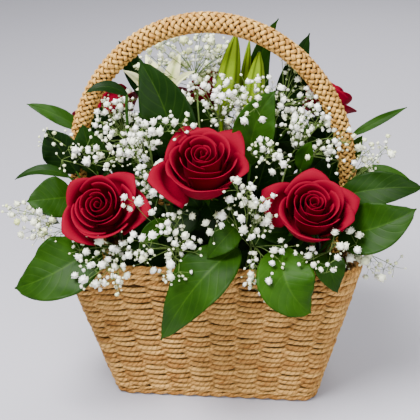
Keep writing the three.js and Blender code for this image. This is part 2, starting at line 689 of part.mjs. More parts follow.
const sprigs = {
  front_left_low: {
    foot: vec(-62, -30, stemEnd), arrival: vec(-0.8, -0.3, 0.3),
    leaves: [{ base: vec(-108, -72, 186), over: vec(-135, -120, 174), tip: vec(-186, -104, 150),
      width: 62, face: vec(-0.05, -0.75, 0.65) }]
  },
  left_middle: {
    foot: vec(-66, -20, stemEnd), arrival: vec(-0.7, -0.3, 0.6),
    leaves: [
      { base: vec(-134, -42, 222), over: vec(-153, -62, 228), tip: vec(-177, -66, 226),
        width: 42, face: vec(-0.1, -0.8, 0.6) },
      { joint: 0.7, base: vec(-142, -30, 237), over: vec(-168, -37, 257), tip: vec(-196, -40, 238),
        width: 12, face: vec(-0.1, -0.6, 0.8) },
      { joint: 0.7, base: vec(-137, -20, 238), over: vec(-151, -26, 266), tip: vec(-163, -24, 286),
        width: 40, face: vec(-0.1, -0.9, 0.3) }
    ]
  },
  left_high: {
    foot: vec(-58, 13, stemEnd), arrival: vec(-0.5, 0.1, 0.8),
    leaves: [{ base: vec(-139, 26, 267), over: vec(-167, 26, 287), tip: vec(-199, 30, 294),
      width: 17, face: vec(0.1, -0.8, 0.6) }]
  },
  left_shoulder: {
    foot: vec(-34, -5, stemEnd), arrival: vec(0.1, -0.05, 1),
    leaves: [{ base: vec(-78, -26, 321), over: vec(-96, -34, 341), tip: vec(-117, -36, 327),
      width: 12, face: vec(0.1, -0.7, 0.7) }]
  },
  big_upright: {
    foot: vec(-20, -10, stemEnd), arrival: vec(-0.1, -0.05, 1),
    leaves: [{ base: vec(-33, -20, 243), over: vec(-34, -31, 306), tip: vec(-68, -12, 353),
      width: 52, face: vec(0.1, -0.95, 0.2), wave: 0.03 }]
  },
  behind_left: {
    foot: vec(-31, 27, stemEnd), arrival: vec(-0.1, 0.05, 1),
    leaves: [{ base: vec(-74, 56, 288), over: vec(-86, 60, 324), tip: vec(-101, 50, 356),
      width: 24, face: vec(0.1, -0.95, 0.2) }]
  },
  twisted_front: {
    foot: vec(-18, -32, stemEnd), arrival: vec(-0.2, -0.4, 0.9),
    leaves: [{ base: vec(-34, -70, 208), over: vec(-52, -95, 218), tip: vec(-62, -92, 190),
      width: 18, face: vec(0.5, -0.7, 0.3) }]
  },
  hanging_front: {
    foot: vec(11, -42, stemEnd), arrival: vec(0.1, -0.5, 0.7),
    leaves: [
      { base: vec(30, -76, 187), over: vec(-4, -133, 188), tip: vec(-44, -106, 99),
        width: 54, face: vec(-0.2, -0.7, 0.7), wave: 0.03 },
      { joint: 0.7, base: vec(32, -72, 212), over: vec(20, -99, 210), tip: vec(3, -98, 186),
        width: 26, face: vec(0.3, -0.75, 0.5) }
    ]
  },
  hanging_round: {
    foot: vec(34, -35, stemEnd), arrival: vec(0.2, -0.7, 0.6),
    leaves: [{ base: vec(72, -73, 190), over: vec(72, -134, 172), tip: vec(101, -108, 137),
      width: 54, face: vec(0, -0.8, 0.6), wave: 0.02 }]
  },
  right_low: {
    foot: vec(66, -25, stemEnd), arrival: vec(0.6, -0.2, 0.6),
    leaves: [
      { base: vec(126, -50, 194), over: vec(153, -82, 206), tip: vec(196, -64, 227),
        width: 50, face: vec(0.1, -0.75, 0.65) },
      { joint: 0.7, base: vec(113, -80, 187), over: vec(115, -111, 192), tip: vec(125, -98, 154),
        width: 30, face: vec(0.1, -0.7, 0.7) }
    ]
  },
  right_middle: {
    foot: vec(60, -9, stemEnd), arrival: vec(0.4, -0.1, 0.9),
    leaves: [
      { base: vec(124, -30, 221), over: vec(158, -49, 244), tip: vec(204, -40, 238),
        width: 34, face: vec(0.1, -0.8, 0.6) },
      { joint: 0.7, base: vec(87, -19, 245), over: vec(91, -28, 264), tip: vec(97, -30, 279),
        width: 18, face: vec(-0.1, -0.9, 0.4) }
    ]
  },
  right_high: {
    foot: vec(60, 12, stemEnd), arrival: vec(0.4, 0.1, 0.9),
    leaves: [
      { base: vec(135, 20, 220), over: vec(166, 14, 239), tip: vec(206, 8, 215),
        width: 22, face: vec(0, -0.6, 0.8) },
      { joint: 0.7, base: vec(136, 28, 264), over: vec(163, 33, 280), tip: vec(190, 26, 296),
        width: 10, face: vec(-0.3, -0.8, 0.5) },
      { joint: 0.8, base: vec(128, 18, 237), over: vec(138, 19, 251), tip: vec(147, 14, 270),
        width: 18, face: vec(0.1, -0.95, 0.3) }
    ]
  },
  behind_right: {
    foot: vec(25, 21, stemEnd), arrival: vec(0.15, 0.1, 1),
    leaves: [
      { base: vec(51, 48, 268), over: vec(27, 56, 328), tip: vec(62, 48, 379),
        width: 22, face: vec(0, -1, 0.1) },
      { joint: 0.7, base: vec(71, 28, 270), over: vec(71, 29, 314), tip: vec(93, 34, 368),
        width: 30, face: vec(0, -1, 0.1) }
    ]
  },
  right_of_centre: {
    foot: vec(16, -11, stemEnd), arrival: vec(0.1, -0.05, 1),
    leaves: [{ base: vec(38, -22, 250), over: vec(37, -37, 299), tip: vec(62, -16, 325),
      width: 40, face: vec(0.1, -1, 0.2) }]
  },
  back_left: {
    foot: vec(-44, 38, stemEnd), arrival: vec(-0.4, 0.7, 0.5),
    leaves: [
      { base: vec(-88, 76, 188), over: vec(-106, 118, 204), tip: vec(-116, 110, 138),
        width: 46, face: vec(-0.2, 0.7, 0.7) },
      { joint: 0.7, base: vec(-80, 76, 204), over: vec(-70, 104, 240), tip: vec(-84, 112, 262),
        width: 34, face: vec(0.1, 0.9, 0.3) }
    ]
  },
  back_centre: {
    foot: vec(-8, 46, stemEnd), arrival: vec(-0.1, 0.7, 0.6),
    leaves: [
      { base: vec(-16, 79, 188), over: vec(-28, 124, 202), tip: vec(-36, 110, 126),
        width: 50, face: vec(-0.1, 0.7, 0.7) },
      { joint: 0.7, base: vec(-10, 79, 198), over: vec(2, 108, 234), tip: vec(-12, 114, 256),
        width: 34, face: vec(0.1, 0.9, 0.3) }
    ]
  },
  back_right: {
    foot: vec(38, 42, stemEnd), arrival: vec(0.2, 0.7, 0.5),
    leaves: [
      { base: vec(70, 77, 188), over: vec(84, 122, 202), tip: vec(92, 110, 134),
        width: 48, face: vec(0.1, 0.7, 0.7) },
      { joint: 0.7, base: vec(72, 76, 202), over: vec(86, 104, 240), tip: vec(74, 112, 262),
        width: 34, face: vec(0.1, 0.9, 0.3) }
    ]
  }
};

for (const [name, plan] of Object.entries(sprigs)) {
  addPiece(`leaves_${name}`, sprig(plan), leafGreen);
}

// ---- gypsophila ------------------------------------------------------------------------------

// The hand grips the handle through this space, so no floret stands in it.
const handRoom = { halfLength: 22, halfDepth: 26, corner: 3, middle: -12, bottom: 352, top: 371 };
const handGap = loft([
  tubRing(handRoom, handRoom.bottom, 0, 8),
  tubRing(handRoom, handRoom.top, 0, 8)
]).translate([handRoom.middle, 0, 0]);

// A twig leaves its stem between the shares `firstTwig` and `lastTwig` of the stem's upper part.
const floret = {
  radius: 5,
  apart: 11,
  twigRadius: 0.7,
  twigSway: 14,
  stemRadius: 1.2,
  gap: 0.4,
  firstTwig: 0.1,
  lastTwig: 0.94,
  extraFaces: 16
};

// A twig in one skin: three-sided, with a floret at its elbow and one at its end.
function floretTwig(from, elbow, head, radius) {
  const lower = elbow.clone().sub(from).normalize();
  const upper = head.clone().sub(elbow).normalize();
  const levels = [
    [from, lower, 0, floret.twigRadius, 0],
    [elbow, lower, -0.8 * radius, floret.twigRadius, 0],
    [elbow, lower, 0, 0.9 * radius, 0],
    [elbow, upper, 0.7 * radius, floret.twigRadius, 0],
    [head, upper, -0.8 * radius, floret.twigRadius, 0],
    [head, upper, -0.1 * radius, radius, 0],
    [head, upper, 0.6 * radius, 0.8 * radius, Math.PI / 3]
  ];
  return loft(levels.map(([centre, axis, ahead, reach, turn]) => {
    const seat = new THREE.Quaternion().setFromUnitVectors(vec(0, 0, 1), axis);
    return Array.from({ length: 3 }, (unused, i) => {
      const angle = (2 * Math.PI * i) / 3 + turn;
      return vec(reach * Math.cos(angle), reach * Math.sin(angle), ahead)
        .applyQuaternion(seat).add(centre);
    });
  }));
}

// A spray: one stem from the foam up through the room round `centre`, with twigs along its upper
// part. A twig that would come near anything standing, or tangle with its own spray, is drawn again.
function spray({ centre, spread, twigs, seed, elbow, share = 0.5 }) {
  const random = seededRandom(seed);
  const low = elbow ?? vec(0.8 * centre.x, 0.8 * centre.y, centre.z - spread.z - 12);
  let path;
  let stalk;
  for (let attempt = 0; attempt < 80 && !stalk; attempt++) {
    const sway = () => (random() - 0.5) * attempt * 0.6;
    const foot = footUnder(low, share).add(vec(sway(), sway(), 0));
    const top = centre.clone().add(vec(sway(), sway(), sway() / 2));
    path = [foot, low, top];
    const trial = rod(path, floret.stemRadius, floret.stemRadius, 4);
    if (standsClear(trial, floret.gap)) {
      stalk = trial;
    }
  }
  if (!stalk) {
    throw new Error(`no way up for the spray at ${centre.toArray()}`);
  }
  boreFor(path, floret.stemRadius);
  let grown = stalk;
  const heads = [];
  const inSpread = () => {
    const offset = vec(random() * 2 - 1, random() * 2 - 1, random() * 2 - 1);
    return centre.clone().add(offset.clampLength(0.4, 1).multiply(spread));
  };
  for (let attempt = 0; attempt < 400 && heads.length < 2 * twigs; attempt++) {
    const head = inSpread();
    const radius = floret.radius * mix(0.8, 1.15, random());
    const leaving = mix(floret.firstTwig, floret.lastTwig, heads.length / (2 * twigs));
    const from = low.clone().lerp(path[2], leaving);
    const sideways = vec(random() - 0.5, random() - 0.5, random() - 0.2);
    const middle = from.clone().lerp(head, mix(0.45, 0.65, random()));
    middle.addScaledVector(sideways, floret.twigSway);
    if (heads.some((other) => other.distanceTo(head) < floret.apart
      || other.distanceTo(middle) < floret.apart)) {
      continue;
    }
    const twig = floretTwig(from, middle, head, radius);
    const next = grown.add(twig);
    const tangled = next.numTri() - grown.numTri() - twig.numTri() > floret.extraFaces;
    if (!tangled && standsClear(twig, floret.gap)
      && standsClear(twig, floret.gap, [uncutFoam, handGap])) {
      heads.push(middle, head);
      grown = next;
    }
  }
  return grow([grown]);
}

const sprays = [
  { centre: vec(-92, -98, 188), spread: vec(34, 14, 15), twigs: 5, seed: 11,
    elbow: vec(-76, -72, 184) },
  { centre: vec(-34, -98, 194), spread: vec(30, 14, 18), twigs: 5, seed: 12,
    elbow: vec(-30, -72, 184) },
  { centre: vec(50, -92, 198), spread: vec(26, 16, 24), twigs: 5, seed: 13,
    elbow: vec(42, -70, 184) },
  { centre: vec(-58, -48, 250), spread: vec(20, 22, 24), twigs: 4, seed: 14 },
  { centre: vec(-96, -10, 290), spread: vec(24, 20, 28), twigs: 5, seed: 15 },
  { centre: vec(-172, -60, 206), spread: vec(26, 14, 19), twigs: 4, seed: 16 },
  { centre: vec(-142, -22, 262), spread: vec(20, 16, 20), twigs: 4, seed: 17 },
  { centre: vec(-24, 34, 338), spread: vec(34, 20, 16), twigs: 5, seed: 18 },
  { centre: vec(8, -8, 312), spread: vec(26, 16, 22), twigs: 5, seed: 19 },
  { centre: vec(76, 12, 322), spread: vec(22, 20, 26), twigs: 4, seed: 20 },
  { centre: vec(92, -16, 284), spread: vec(24, 18, 22), twigs: 4, seed: 21 },
  { centre: vec(158, -70, 184), spread: vec(26, 16, 26), twigs: 4, seed: 23,
    elbow: vec(122, -58, 184) },
  { centre: vec(153, -4, 258), spread: vec(20, 14, 18), twigs: 4, seed: 24,
    elbow: vec(118, -12, 204) },
  { centre: vec(-72, 82, 232), spread: vec(26, 22, 26), twigs: 4, seed: 25 },
  { centre: vec(12, 92, 240), spread: vec(26, 20, 26), twigs: 4, seed: 26 },
  { centre: vec(84, 84, 228), spread: vec(26, 20, 26), twigs: 3, seed: 27 }
];

sprays.forEach((plan, index) => {
  addPiece(`gypsophila_${String(index + 1).padStart(2, '0')}`, spray(plan), gypsophilaWhite);
});

// ---- the foam, with a hole for every stem ------------------------------------------------------

const boredFoam = stemHoles.reduce((block, hole) => block.subtract(hole), uncutFoam);
addPiece('floral_foam', boredFoam, foamGreen);

export default arrangement;
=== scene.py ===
# %% [markdown]
# # A basket of roses
#
# A woven rush basket with a plaited handle holds roses, lilies, broad leaves and clouds of gypsophila.
# The solid model of the arrangement is loaded first and fixes where everything stands. Each lesson
# step then lays a finer surface over one kind of piece: cords, petals, leaves, florets.
#
# Lengths are in millimetres, and `MM` turns them into the metres of the finished scene. Only the floor
# and the lights are placed in metres.

# %% Load the solid model
import math

import bpy
import numpy as np
from numpy import cos, pi, sin
from mathutils import Matrix, Vector
from mathutils.bvhtree import BVHTree


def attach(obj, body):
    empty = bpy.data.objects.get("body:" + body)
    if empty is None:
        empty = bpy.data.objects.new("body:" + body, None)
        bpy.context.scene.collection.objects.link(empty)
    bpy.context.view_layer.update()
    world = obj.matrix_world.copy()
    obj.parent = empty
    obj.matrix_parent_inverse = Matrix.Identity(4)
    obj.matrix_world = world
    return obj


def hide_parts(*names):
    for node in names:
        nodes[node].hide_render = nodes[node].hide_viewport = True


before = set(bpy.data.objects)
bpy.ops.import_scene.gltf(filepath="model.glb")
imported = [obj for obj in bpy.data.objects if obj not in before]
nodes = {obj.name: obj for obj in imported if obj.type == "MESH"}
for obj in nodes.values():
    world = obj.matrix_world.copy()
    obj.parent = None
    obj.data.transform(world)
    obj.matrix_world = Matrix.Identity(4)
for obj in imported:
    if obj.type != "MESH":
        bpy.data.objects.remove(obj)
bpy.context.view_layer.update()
MM = 0.001

# %% [markdown]
# ## Surfaces from grids
#
# Every piece here is a grid of points that a formula fills at once, so the only tool needed is one that
# joins the points of a grid into four-sided faces. Two pattern coordinates go with each face corner, so
# that a fibre or a vein can follow the surface. Three numbers go with each point: a random shade, which
# side of a petal or leaf it is on, and how close it is to the rim. On a cord the second number is the
# share of painted shade, and near a petal's rim the finish paints a highlight.

# %% Curves
def unit(v):
    """Each vector divided by its own length."""
    return v / np.maximum(np.linalg.norm(v, axis=-1, keepdims=True), 1e-9)


def smooth(t):
    """The smooth step 3t^2 - 2t^3 from 0 to 1."""
    t = np.clip(t, 0, 1)
    return t * t * (3 - 2 * t)


def bend(s, start, over, end):
    """The curve (1-s)^2 start + 2s(1-s) over + s^2 end, which leans towards `over`."""
    return (1 - s) ** 2 * start + 2 * s * (1 - s) * over + s ** 2 * end


def bends(start, over, end, steps):
    """Points on that curve, for one start, over and end or for a list of each."""
    return bend(np.linspace(0, 1, steps)[:, None], *(np.asarray(p, float)[..., None, :]
                                                     for p in (start, over, end)))


def cubic(s, a, b, c, d):
    """The curve from a to d that leans towards b first and then c, as a cubic in s."""
    w = 1 - s
    return w ** 3 * a + 3 * w * w * s * b + 3 * w * s ** 2 * c + s ** 3 * d


# %% Grids, tubes and thin sheets
any_side = np.array([0.31, -0.9, 0.12])
cord_sides = 8


def lattice(rows, cols, wrap_rows=False, wrap_cols=False):
    """Four-sided faces between neighbouring rows and columns, and each corner's row and column."""
    r, c = np.meshgrid(np.arange(rows - (not wrap_rows)), np.arange(cols - (not wrap_cols)),
                       indexing="ij")
    i = np.stack([r, r, r + 1, r + 1], -1).reshape(-1, 4)
    j = np.stack([c, c + 1, c + 1, c], -1).reshape(-1, 4)
    return (i % rows) * cols + j % cols, i, j


def end_faces(rows, cols):
    """The faces that close a tube whose grid has `rows` rings of `cols` points."""
    return np.stack([np.arange(cols)[::-1], (rows - 1) * cols + np.arange(cols)])


def repeat_faces(faces, count, points_each):
    """The same faces for each of `count` grids that lie one after another in the point list."""
    shift = np.arange(count) * points_each
    return (faces[None] + shift[:, None, None]).reshape(-1, faces.shape[1])


def tubes(paths, radius, up=any_side, sides=cord_sides, thick=None, closed=False, ribs=(0, 0), offset=0):
    """Tubes along paths of shape (count, steps, 3). Round a path the skin is
    path + radius cos(a) across + thick sin(a) outward, where outward is as near `up` as the path
    allows. Ribs of (depth, number) swell it by depth cos(number a)."""
    paths = np.asarray(paths, float)
    paths = paths[None] if paths.ndim == 2 else paths
    count, steps = paths.shape[:2]
    ahead = np.roll(paths, -1, 1) - np.roll(paths, 1, 1)
    if not closed:
        ahead[:, 0] = paths[:, 1] - paths[:, 0]
        ahead[:, -1] = paths[:, -1] - paths[:, -2]
    tangent = unit(ahead)
    across = unit(np.cross(np.broadcast_to(up, paths.shape), tangent))
    outward = np.cross(tangent, across)
    a = 2 * pi * np.arange(sides) / sides
    swell = 1 + ribs[0] * cos(ribs[1] * a)
    wide, high = (np.broadcast_to(size, (count, steps))[..., None]
                  for size in (radius, radius if thick is None else thick))
    points = (paths[:, :, None] + (wide * cos(a) * swell)[..., None] * across[:, :, None]
              + (high * sin(a) * swell)[..., None] * outward[:, :, None])
    faces, i, j = lattice(steps, sides, wrap_rows=closed, wrap_cols=True)
    step = np.linalg.norm(np.diff(np.concatenate([paths, paths[:, :1]], 1), axis=1), axis=2)
    along = np.concatenate([np.zeros((count, 1)), np.cumsum(step, 1)], 1)
    along = along + np.broadcast_to(offset, (count,))[:, None]
    coords = np.stack([along[:, i], np.broadcast_to(j / sides, (count,) + j.shape)], -1)
    parts = [(repeat_faces(faces, count, steps * sides), coords.reshape(-1, 4, 2))]
    if not closed:
        ends = repeat_faces(end_faces(steps, sides), count, steps * sides)
        parts.append((ends, np.zeros((2 * count, sides, 2))))
    return points.reshape(count, -1, 3), parts


def petal_grid(rows, cols):
    """Coordinates of a petal or leaf: u is -1 to 1 from edge to edge, v is 0 to 1 from root to tip."""
    return np.linspace(-1, 1, cols)[None, None], np.linspace(0, 1, rows)[None, :, None]


def sheets(middle, thickness):
    """Thin closed sheets about middle surfaces of shape (count, rows, cols, 3): each is the surface
    moved half the thickness along its normal both ways, with a strip round the edge."""
    count, rows, cols = middle.shape[:3]
    half = thickness * unit(np.cross(np.gradient(middle, axis=2), np.gradient(middle, axis=1))) / 2
    points = np.stack([middle + half, middle - half], 1)
    front = lattice(rows, cols)[0]
    grid = np.arange(rows * cols).reshape(rows, cols)
    rim = np.concatenate([grid[0, :-1], grid[:-1, -1], grid[-1, :0:-1], grid[:0:-1, 0]])
    ahead = np.roll(rim, -1)
    edge = np.stack([ahead, rim, rim + rows * cols, ahead + rows * cols], -1)
    faces = np.concatenate([front, front[:, ::-1] + rows * cols, edge])
    u, v = petal_grid(rows, cols)
    coords = np.stack(np.broadcast_arrays(u[0], v[0]), -1).reshape(-1, 2)
    coords = np.tile(np.tile(coords, (2, 1))[faces], (count, 1, 1))
    return points.reshape(count, -1, 3), [(repeat_faces(faces, count, 2 * rows * cols), coords)]


# %% A skin becomes a piece
def to_scene(name, data):
    """A new object in the scene, made of a mesh, a light or a camera."""
    thing = bpy.data.objects.new(name, data)
    bpy.context.scene.collection.objects.link(thing)
    return thing


class Skin:
    """Collects surfaces for one piece and writes them into a mesh."""

    def __init__(self):
        self.points, self.faces, self.coords, self.looks, self.count = [], [], [], [], 0

    def add(self, surface, shade=0.5, side=0.0, rim=0.0):
        """Takes in a surface, with its look given once, for each grid, or for each point."""
        points, parts = surface
        looks = (np.reshape(v, np.shape(v) + (1,) * (2 - np.ndim(v))) for v in (shade, side, rim))
        looks = np.stack([np.broadcast_to(look, points.shape[:2]) for look in looks], -1)
        for faces, coords in parts:
            self.faces.append(faces + self.count)
            self.coords.append(coords)
        self.points.append(points.reshape(-1, 3))
        self.looks.append(looks.reshape(-1, 3))
        self.count += points.shape[0] * points.shape[1]
        return self

    def stems(self, paths, radius, sides=6, shade=0.5):
        """Round green stems; a side of 1 makes them as dull as a leaf's under side."""
        return self.add(tubes(paths, radius, sides=sides), shade=shade, side=1.0)

    def place(self, turn, shift):
        """Turns and moves everything collected so far."""
        self.points = [p @ np.array(turn).T + np.array(shift) for p in self.points]
        return self

    def piece(self, name, material, slot, replaced):
        """The finished piece, which rides on the basket and replaces one of the solid nodes."""
        points = np.concatenate(self.points) * MM
        corners = np.concatenate([f.ravel() for f in self.faces])
        sizes = np.concatenate([np.full(len(f), f.shape[1]) for f in self.faces])
        mesh = bpy.data.meshes.new(name)
        mesh.vertices.add(len(points))
        mesh.vertices.foreach_set("co", points.ravel())
        mesh.loops.add(len(corners))
        mesh.loops.foreach_set("vertex_index", corners)
        mesh.polygons.add(len(sizes))
        mesh.polygons.foreach_set("loop_start", np.cumsum(sizes) - sizes)
        mesh.update(calc_edges=True)
        mesh.polygons.foreach_set("use_smooth", np.ones(len(sizes), bool))
        layer = mesh.uv_layers.new(name="lay")
        layer.uv.foreach_set("vector", np.concatenate([c.reshape(-1, 2) for c in self.coords]).ravel())
        look = mesh.attributes.new("look", "FLOAT_VECTOR", "POINT")
        look.data.foreach_set("vector", np.concatenate(self.looks).ravel())
        mesh.materials.append(material)
        thing = to_scene(name, mesh)
        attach(thing, "root")
        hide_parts(replaced)
        print(f"{name}: {len(points)} points, {int((sizes - 2).sum())} triangles")
        return thing


# %% [markdown]
# ## Finishes
#
# A finish is a small net of shader nodes. A `Value` stands for one output of a node, so that a formula
# in Python, such as `fibre * 1.1 + shade`, adds the Math nodes that work it out. Effects that several
# finishes share, such as fibres and mottling, are node groups. A finish calls them like functions, with
# the numbers for their named inputs in order.

# %% Shader helpers
class Value:
    """One output of a shader node."""

    def __init__(self, socket):
        self.socket, self.tree = socket, socket.id_data

    __add__ = lambda self, other: math_node("ADD", self, other)
    __sub__ = lambda self, other: math_node("SUBTRACT", self, other)
    __rsub__ = lambda self, other: math_node("SUBTRACT", other, self)
    __mul__ = lambda self, other: math_node("MULTIPLY", self, other)
    __pow__ = lambda self, other: math_node("POWER", self, other)

    def clamped(self):
        """The same value, held between 0 and 1."""
        self.socket.node.use_clamp = True
        return self

    def parts(self):
        """The three numbers of a vector."""
        return [Value(s) for s in add(self.tree, "SeparateXYZ", _0=self).socket.node.outputs]


def add(tree, kind, settings=None, output=0, **inputs):
    """Adds a shader node and returns an output. A value is linked to its input, and others are set."""
    node = tree.nodes.new("ShaderNode" + kind)
    for key, value in (settings or {}).items():
        setattr(node, key, value)
    for key, value in inputs.items():
        plug(tree, node.inputs[int(key[1:])] if key[0] == "_" else node.inputs[key.replace("_", " ")], value)
    return Value(node.outputs[output])


def plug(tree, socket, value):
    """Links a value to an input, or sets the input to a number or colour."""
    if isinstance(value, Value):
        tree.links.new(value.socket, socket)
    else:
        socket.default_value = value


def math_node(operation, a, b=0.0):
    """The outcome of an operation on two inputs, of which at least one is a value."""
    tree = a.tree if isinstance(a, Value) else b.tree
    return add(tree, "Math", {"operation": operation}, _0=a, _1=b)


def rgb(r, g, b):
    """A colour given as it looks on screen, 0 to 255, turned into linear light."""
    c = np.array([r, g, b]) / 255
    return (*np.where(c < 0.04045, c / 12.92, ((c + 0.055) / 1.055) ** 2.4), 1.0)


def blend(share, *colours):
    """Mixes the first colour with the second by share. A colour is a value or three numbers for `rgb`."""
    a, b = (c if isinstance(c, Value) else rgb(*c) for c in colours)
    return add(share.tree, "Mix", {"data_type": "RGBA", "clamp_factor": True}, output=2, _0=share, _6=a, _7=b)


def look_of(tree):
    """The look of a point: its shade, its side and its nearness to the rim."""
    return add(tree, "Attribute", {"attribute_name": "look"}, output="Vector").parts()


def lay_of(tree):
    """The two pattern coordinates."""
    return add(tree, "UVMap", {"uv_map": "lay"}).parts()[:2]


# %% Finishes and shared effects
def new_finish(name, **constants):
    """A material with one Principled shader, and its tree."""
    material = bpy.data.materials.new(name)
    material.use_nodes = True
    shader = material.node_tree.nodes["Principled BSDF"]
    for key, value in constants.items():
        shader.inputs[key.replace("_", " ")].default_value = value
    return material, material.node_tree


def complete(material, colour, height, strength, distance=0.0006, **others):
    """Gives the shader its colour, small bumps of the given height, and any other inputs."""
    tree = material.node_tree
    bump = add(tree, "Bump", Strength=strength, Distance=distance, Height=height)
    for key, value in {"Base Color": colour, "Normal": bump, **others}.items():
        plug(tree, tree.nodes["Principled BSDF"].inputs[key], value)
    return material


def new_group(name, **given):
    """An empty node group with number inputs: its tree, and the inputs as values."""
    tree = bpy.data.node_groups.new(name, "ShaderNodeTree")
    for title, value in given.items():
        tree.interface.new_socket(title, in_out="INPUT", socket_type="NodeSocketFloat").default_value = value
    return tree, [Value(s) for s in tree.nodes.new("NodeGroupInput").outputs[:len(given)]]


def close_group(tree, **results):
    """Names the results of a node group; returns a function that puts the group into a finish."""
    for title in results:
        tree.interface.new_socket(title, in_out="OUTPUT", socket_type="NodeSocketFloat")
    end = tree.nodes.new("NodeGroupOutput")
    for title, value in results.items():
        plug(tree, end.inputs[title], value)

    def use(into, *numbers):
        first = add(into, "Group", {"node_tree": tree}, **{f"_{k}": v for k, v in enumerate(numbers)})
        outputs = [Value(s) for s in first.socket.node.outputs]
        return outputs if len(outputs) > 1 else first

    print("shared effect:", tree.name)
    return use


# Mottling gives soft patches from noise on Object coordinates, as a value from 0 to 1.
tree, (scale, contrast) = new_group("Mottling", Scale=60.0, Contrast=1.0)
place = add(tree, "TexCoord", output="Object")
noise = add(tree, "TexNoise", Vector=place, Scale=scale, Detail=3.0, Roughness=0.6)
mottling = close_group(tree, Value=((noise - 0.5) * contrast + 0.5).clamped())

# Fibres are streaks that run along a cord and wind slowly round it. The pattern coordinates are
# millimetres along and turns round, so noise that is stretched along gives straw fibres.
tree, (stretch, around, wind) = new_group("Fibres", Along=0.06, Around=9.0, Wind=0.05)
run, round_it = lay_of(tree)
angle = (run * wind + round_it) * (2 * pi)
place = add(tree, "CombineXYZ", X=math_node("COSINE", angle) * around,
            Y=math_node("SINE", angle) * around, Z=run * stretch)
fibres = close_group(tree, Value=add(tree, "TexNoise", Vector=place, Scale=1.0, Detail=2.0, Roughness=0.55))


# %% Rush, the finish of every cord
def rush_finish(name, light, dark, streak_and_shade_colour, bump, ply, shade_both_edges):
    """Straw colour from light to dark by strand, patch and fibre. The darkest colour darkens the fine
    fibre streaks, and is painted shade in three places: in the grooves between two plies that wind once
    in `ply` millimetres, along a cord's lower edge (or both edges), and where the look's second number
    says that a cord passes behind another."""
    material, tree = new_finish(name, Roughness=0.7, Specular_IOR_Level=0.15)
    shade, behind, _ = look_of(tree)
    along, around = lay_of(tree)
    fibre, fine = fibres(tree, 0.10, 1.3, 0.04), fibres(tree, 0.5, 3.2, 0.04)
    tone = mottling(tree, 70.0, 2.2) * 0.4 + (fibre * 1.1 + shade * 0.45 - 0.55)
    colour = blend(tone.clamped(), dark, light)
    colour = blend(((0.49 - fine).clamped() * 2.6).clamped(), colour, streak_and_shade_colour)
    height = fine * 0.5 + fibre
    # Painted shade: along a cord's lower edge, or both edges of a plaited strand, and where the look's second
    # number says it passes behind another.
    turned = math_node("COSINE", around * (2 * pi))
    edge = math_node("ABSOLUTE", turned) if shade_both_edges else turned * -1.0
    painted_shade = math_node("MAXIMUM", math_node("MAXIMUM", edge, 0.0) ** 4.0 * 0.95, behind)
    if ply:
        # Painted shade in the grooves between the plies; the bump sinks there too.
        rank = along * (2.0 / ply) + around * 2.0
        groove = (1.0 - math_node("PINGPONG", rank, 0.5) * 5.0).clamped()
        painted_shade = math_node("MAXIMUM", painted_shade, groove * 0.42)
        height = groove * -1.6 + height
    return complete(material, blend(painted_shade, colour, streak_and_shade_colour), height, bump)


rush = rush_finish("woven rush", (232, 182, 104), (148, 96, 40), (34, 15, 3), 0.8, 10.0, False)
plait_rush = rush_finish("plaited rush", (240, 192, 104), (158, 104, 38), (36, 17, 4), 1.0, None, True)
print("rush finishes:", rush.name, plait_rush.name)

# %% [markdown]
# ## The basket wall
#
# The wall is plain weave: cords run round the basket, over one stake and under the next, and each row
# is half a stitch apart from the row below. Every cord is a tube whose path is the basket's rounded
# rectangle, pushed out over a stake and in under the next by a cosine. A cord is fat where it shows and
# thin where it dives, and the part that dives is marked, so that its finish can paint shade on it.

# %% The basket's outline
basket_height = 168.0
top_size, base_size = np.array([300.0, 180.0, 26.0]), np.array([216.0, 122.0, 18.0])
rim_height, foot_height = 21.5, 11.4
wall_top = basket_height - rim_height


def on_basket(turn, z, out):
    """The point at `turn` round the rounded rectangle at height z, moved `out` along its normal, and
    that normal. One turn has four equal quarters, each half an end, a corner and half a side."""
    turn, z, out = np.broadcast_arrays(np.asarray(turn, float), z, out)
    part = z / basket_height
    length, depth, corner = (base_size[k] + (top_size[k] - base_size[k]) * part for k in range(3))
    straight_x, straight_y = length / 2 - corner, depth / 2 - corner
    side = straight_x + straight_y + corner * pi / 2
    lap = (turn % 1) * 4
    quarter = np.floor(lap)
    share = lap - quarter
    t = np.where(quarter % 2 == 1, 1 - share, share) * side
    angle = np.clip((t - straight_y) / corner, 0, pi / 2)
    x = straight_x + corner * cos(angle) - np.clip(t - straight_y - corner * pi / 2, 0, None)
    y = corner * sin(angle) + np.minimum(t, straight_y)
    flip_x = np.where((quarter == 1) | (quarter == 2), -1, 1)
    flip_y = np.where(quarter >= 2, -1, 1)
    normal = np.stack([cos(angle) * flip_x, sin(angle) * flip_y, np.zeros_like(t)], -1)
    return np.stack([x * flip_x, y * flip_y, z], -1) + normal * out[..., None], normal


def band(levels, outer, inner):
    """A closed ring behind the cords: its section runs up the outline at `outer` and down at `inner`."""
    turn = np.arange(120)[None] / 120
    front, back = (on_basket(turn, levels[:, None], out)[0] for out in (outer, inner))
    section = np.concatenate([front, back[::-1]])
    faces, i, j = lattice(*section.shape[:2], wrap_rows=True, wrap_cols=True)
    coords = np.stack([j * 6.0, i / 4.0], -1)
    return section.reshape(1, -1, 3), [(faces[:, ::-1], coords[:, ::-1])]


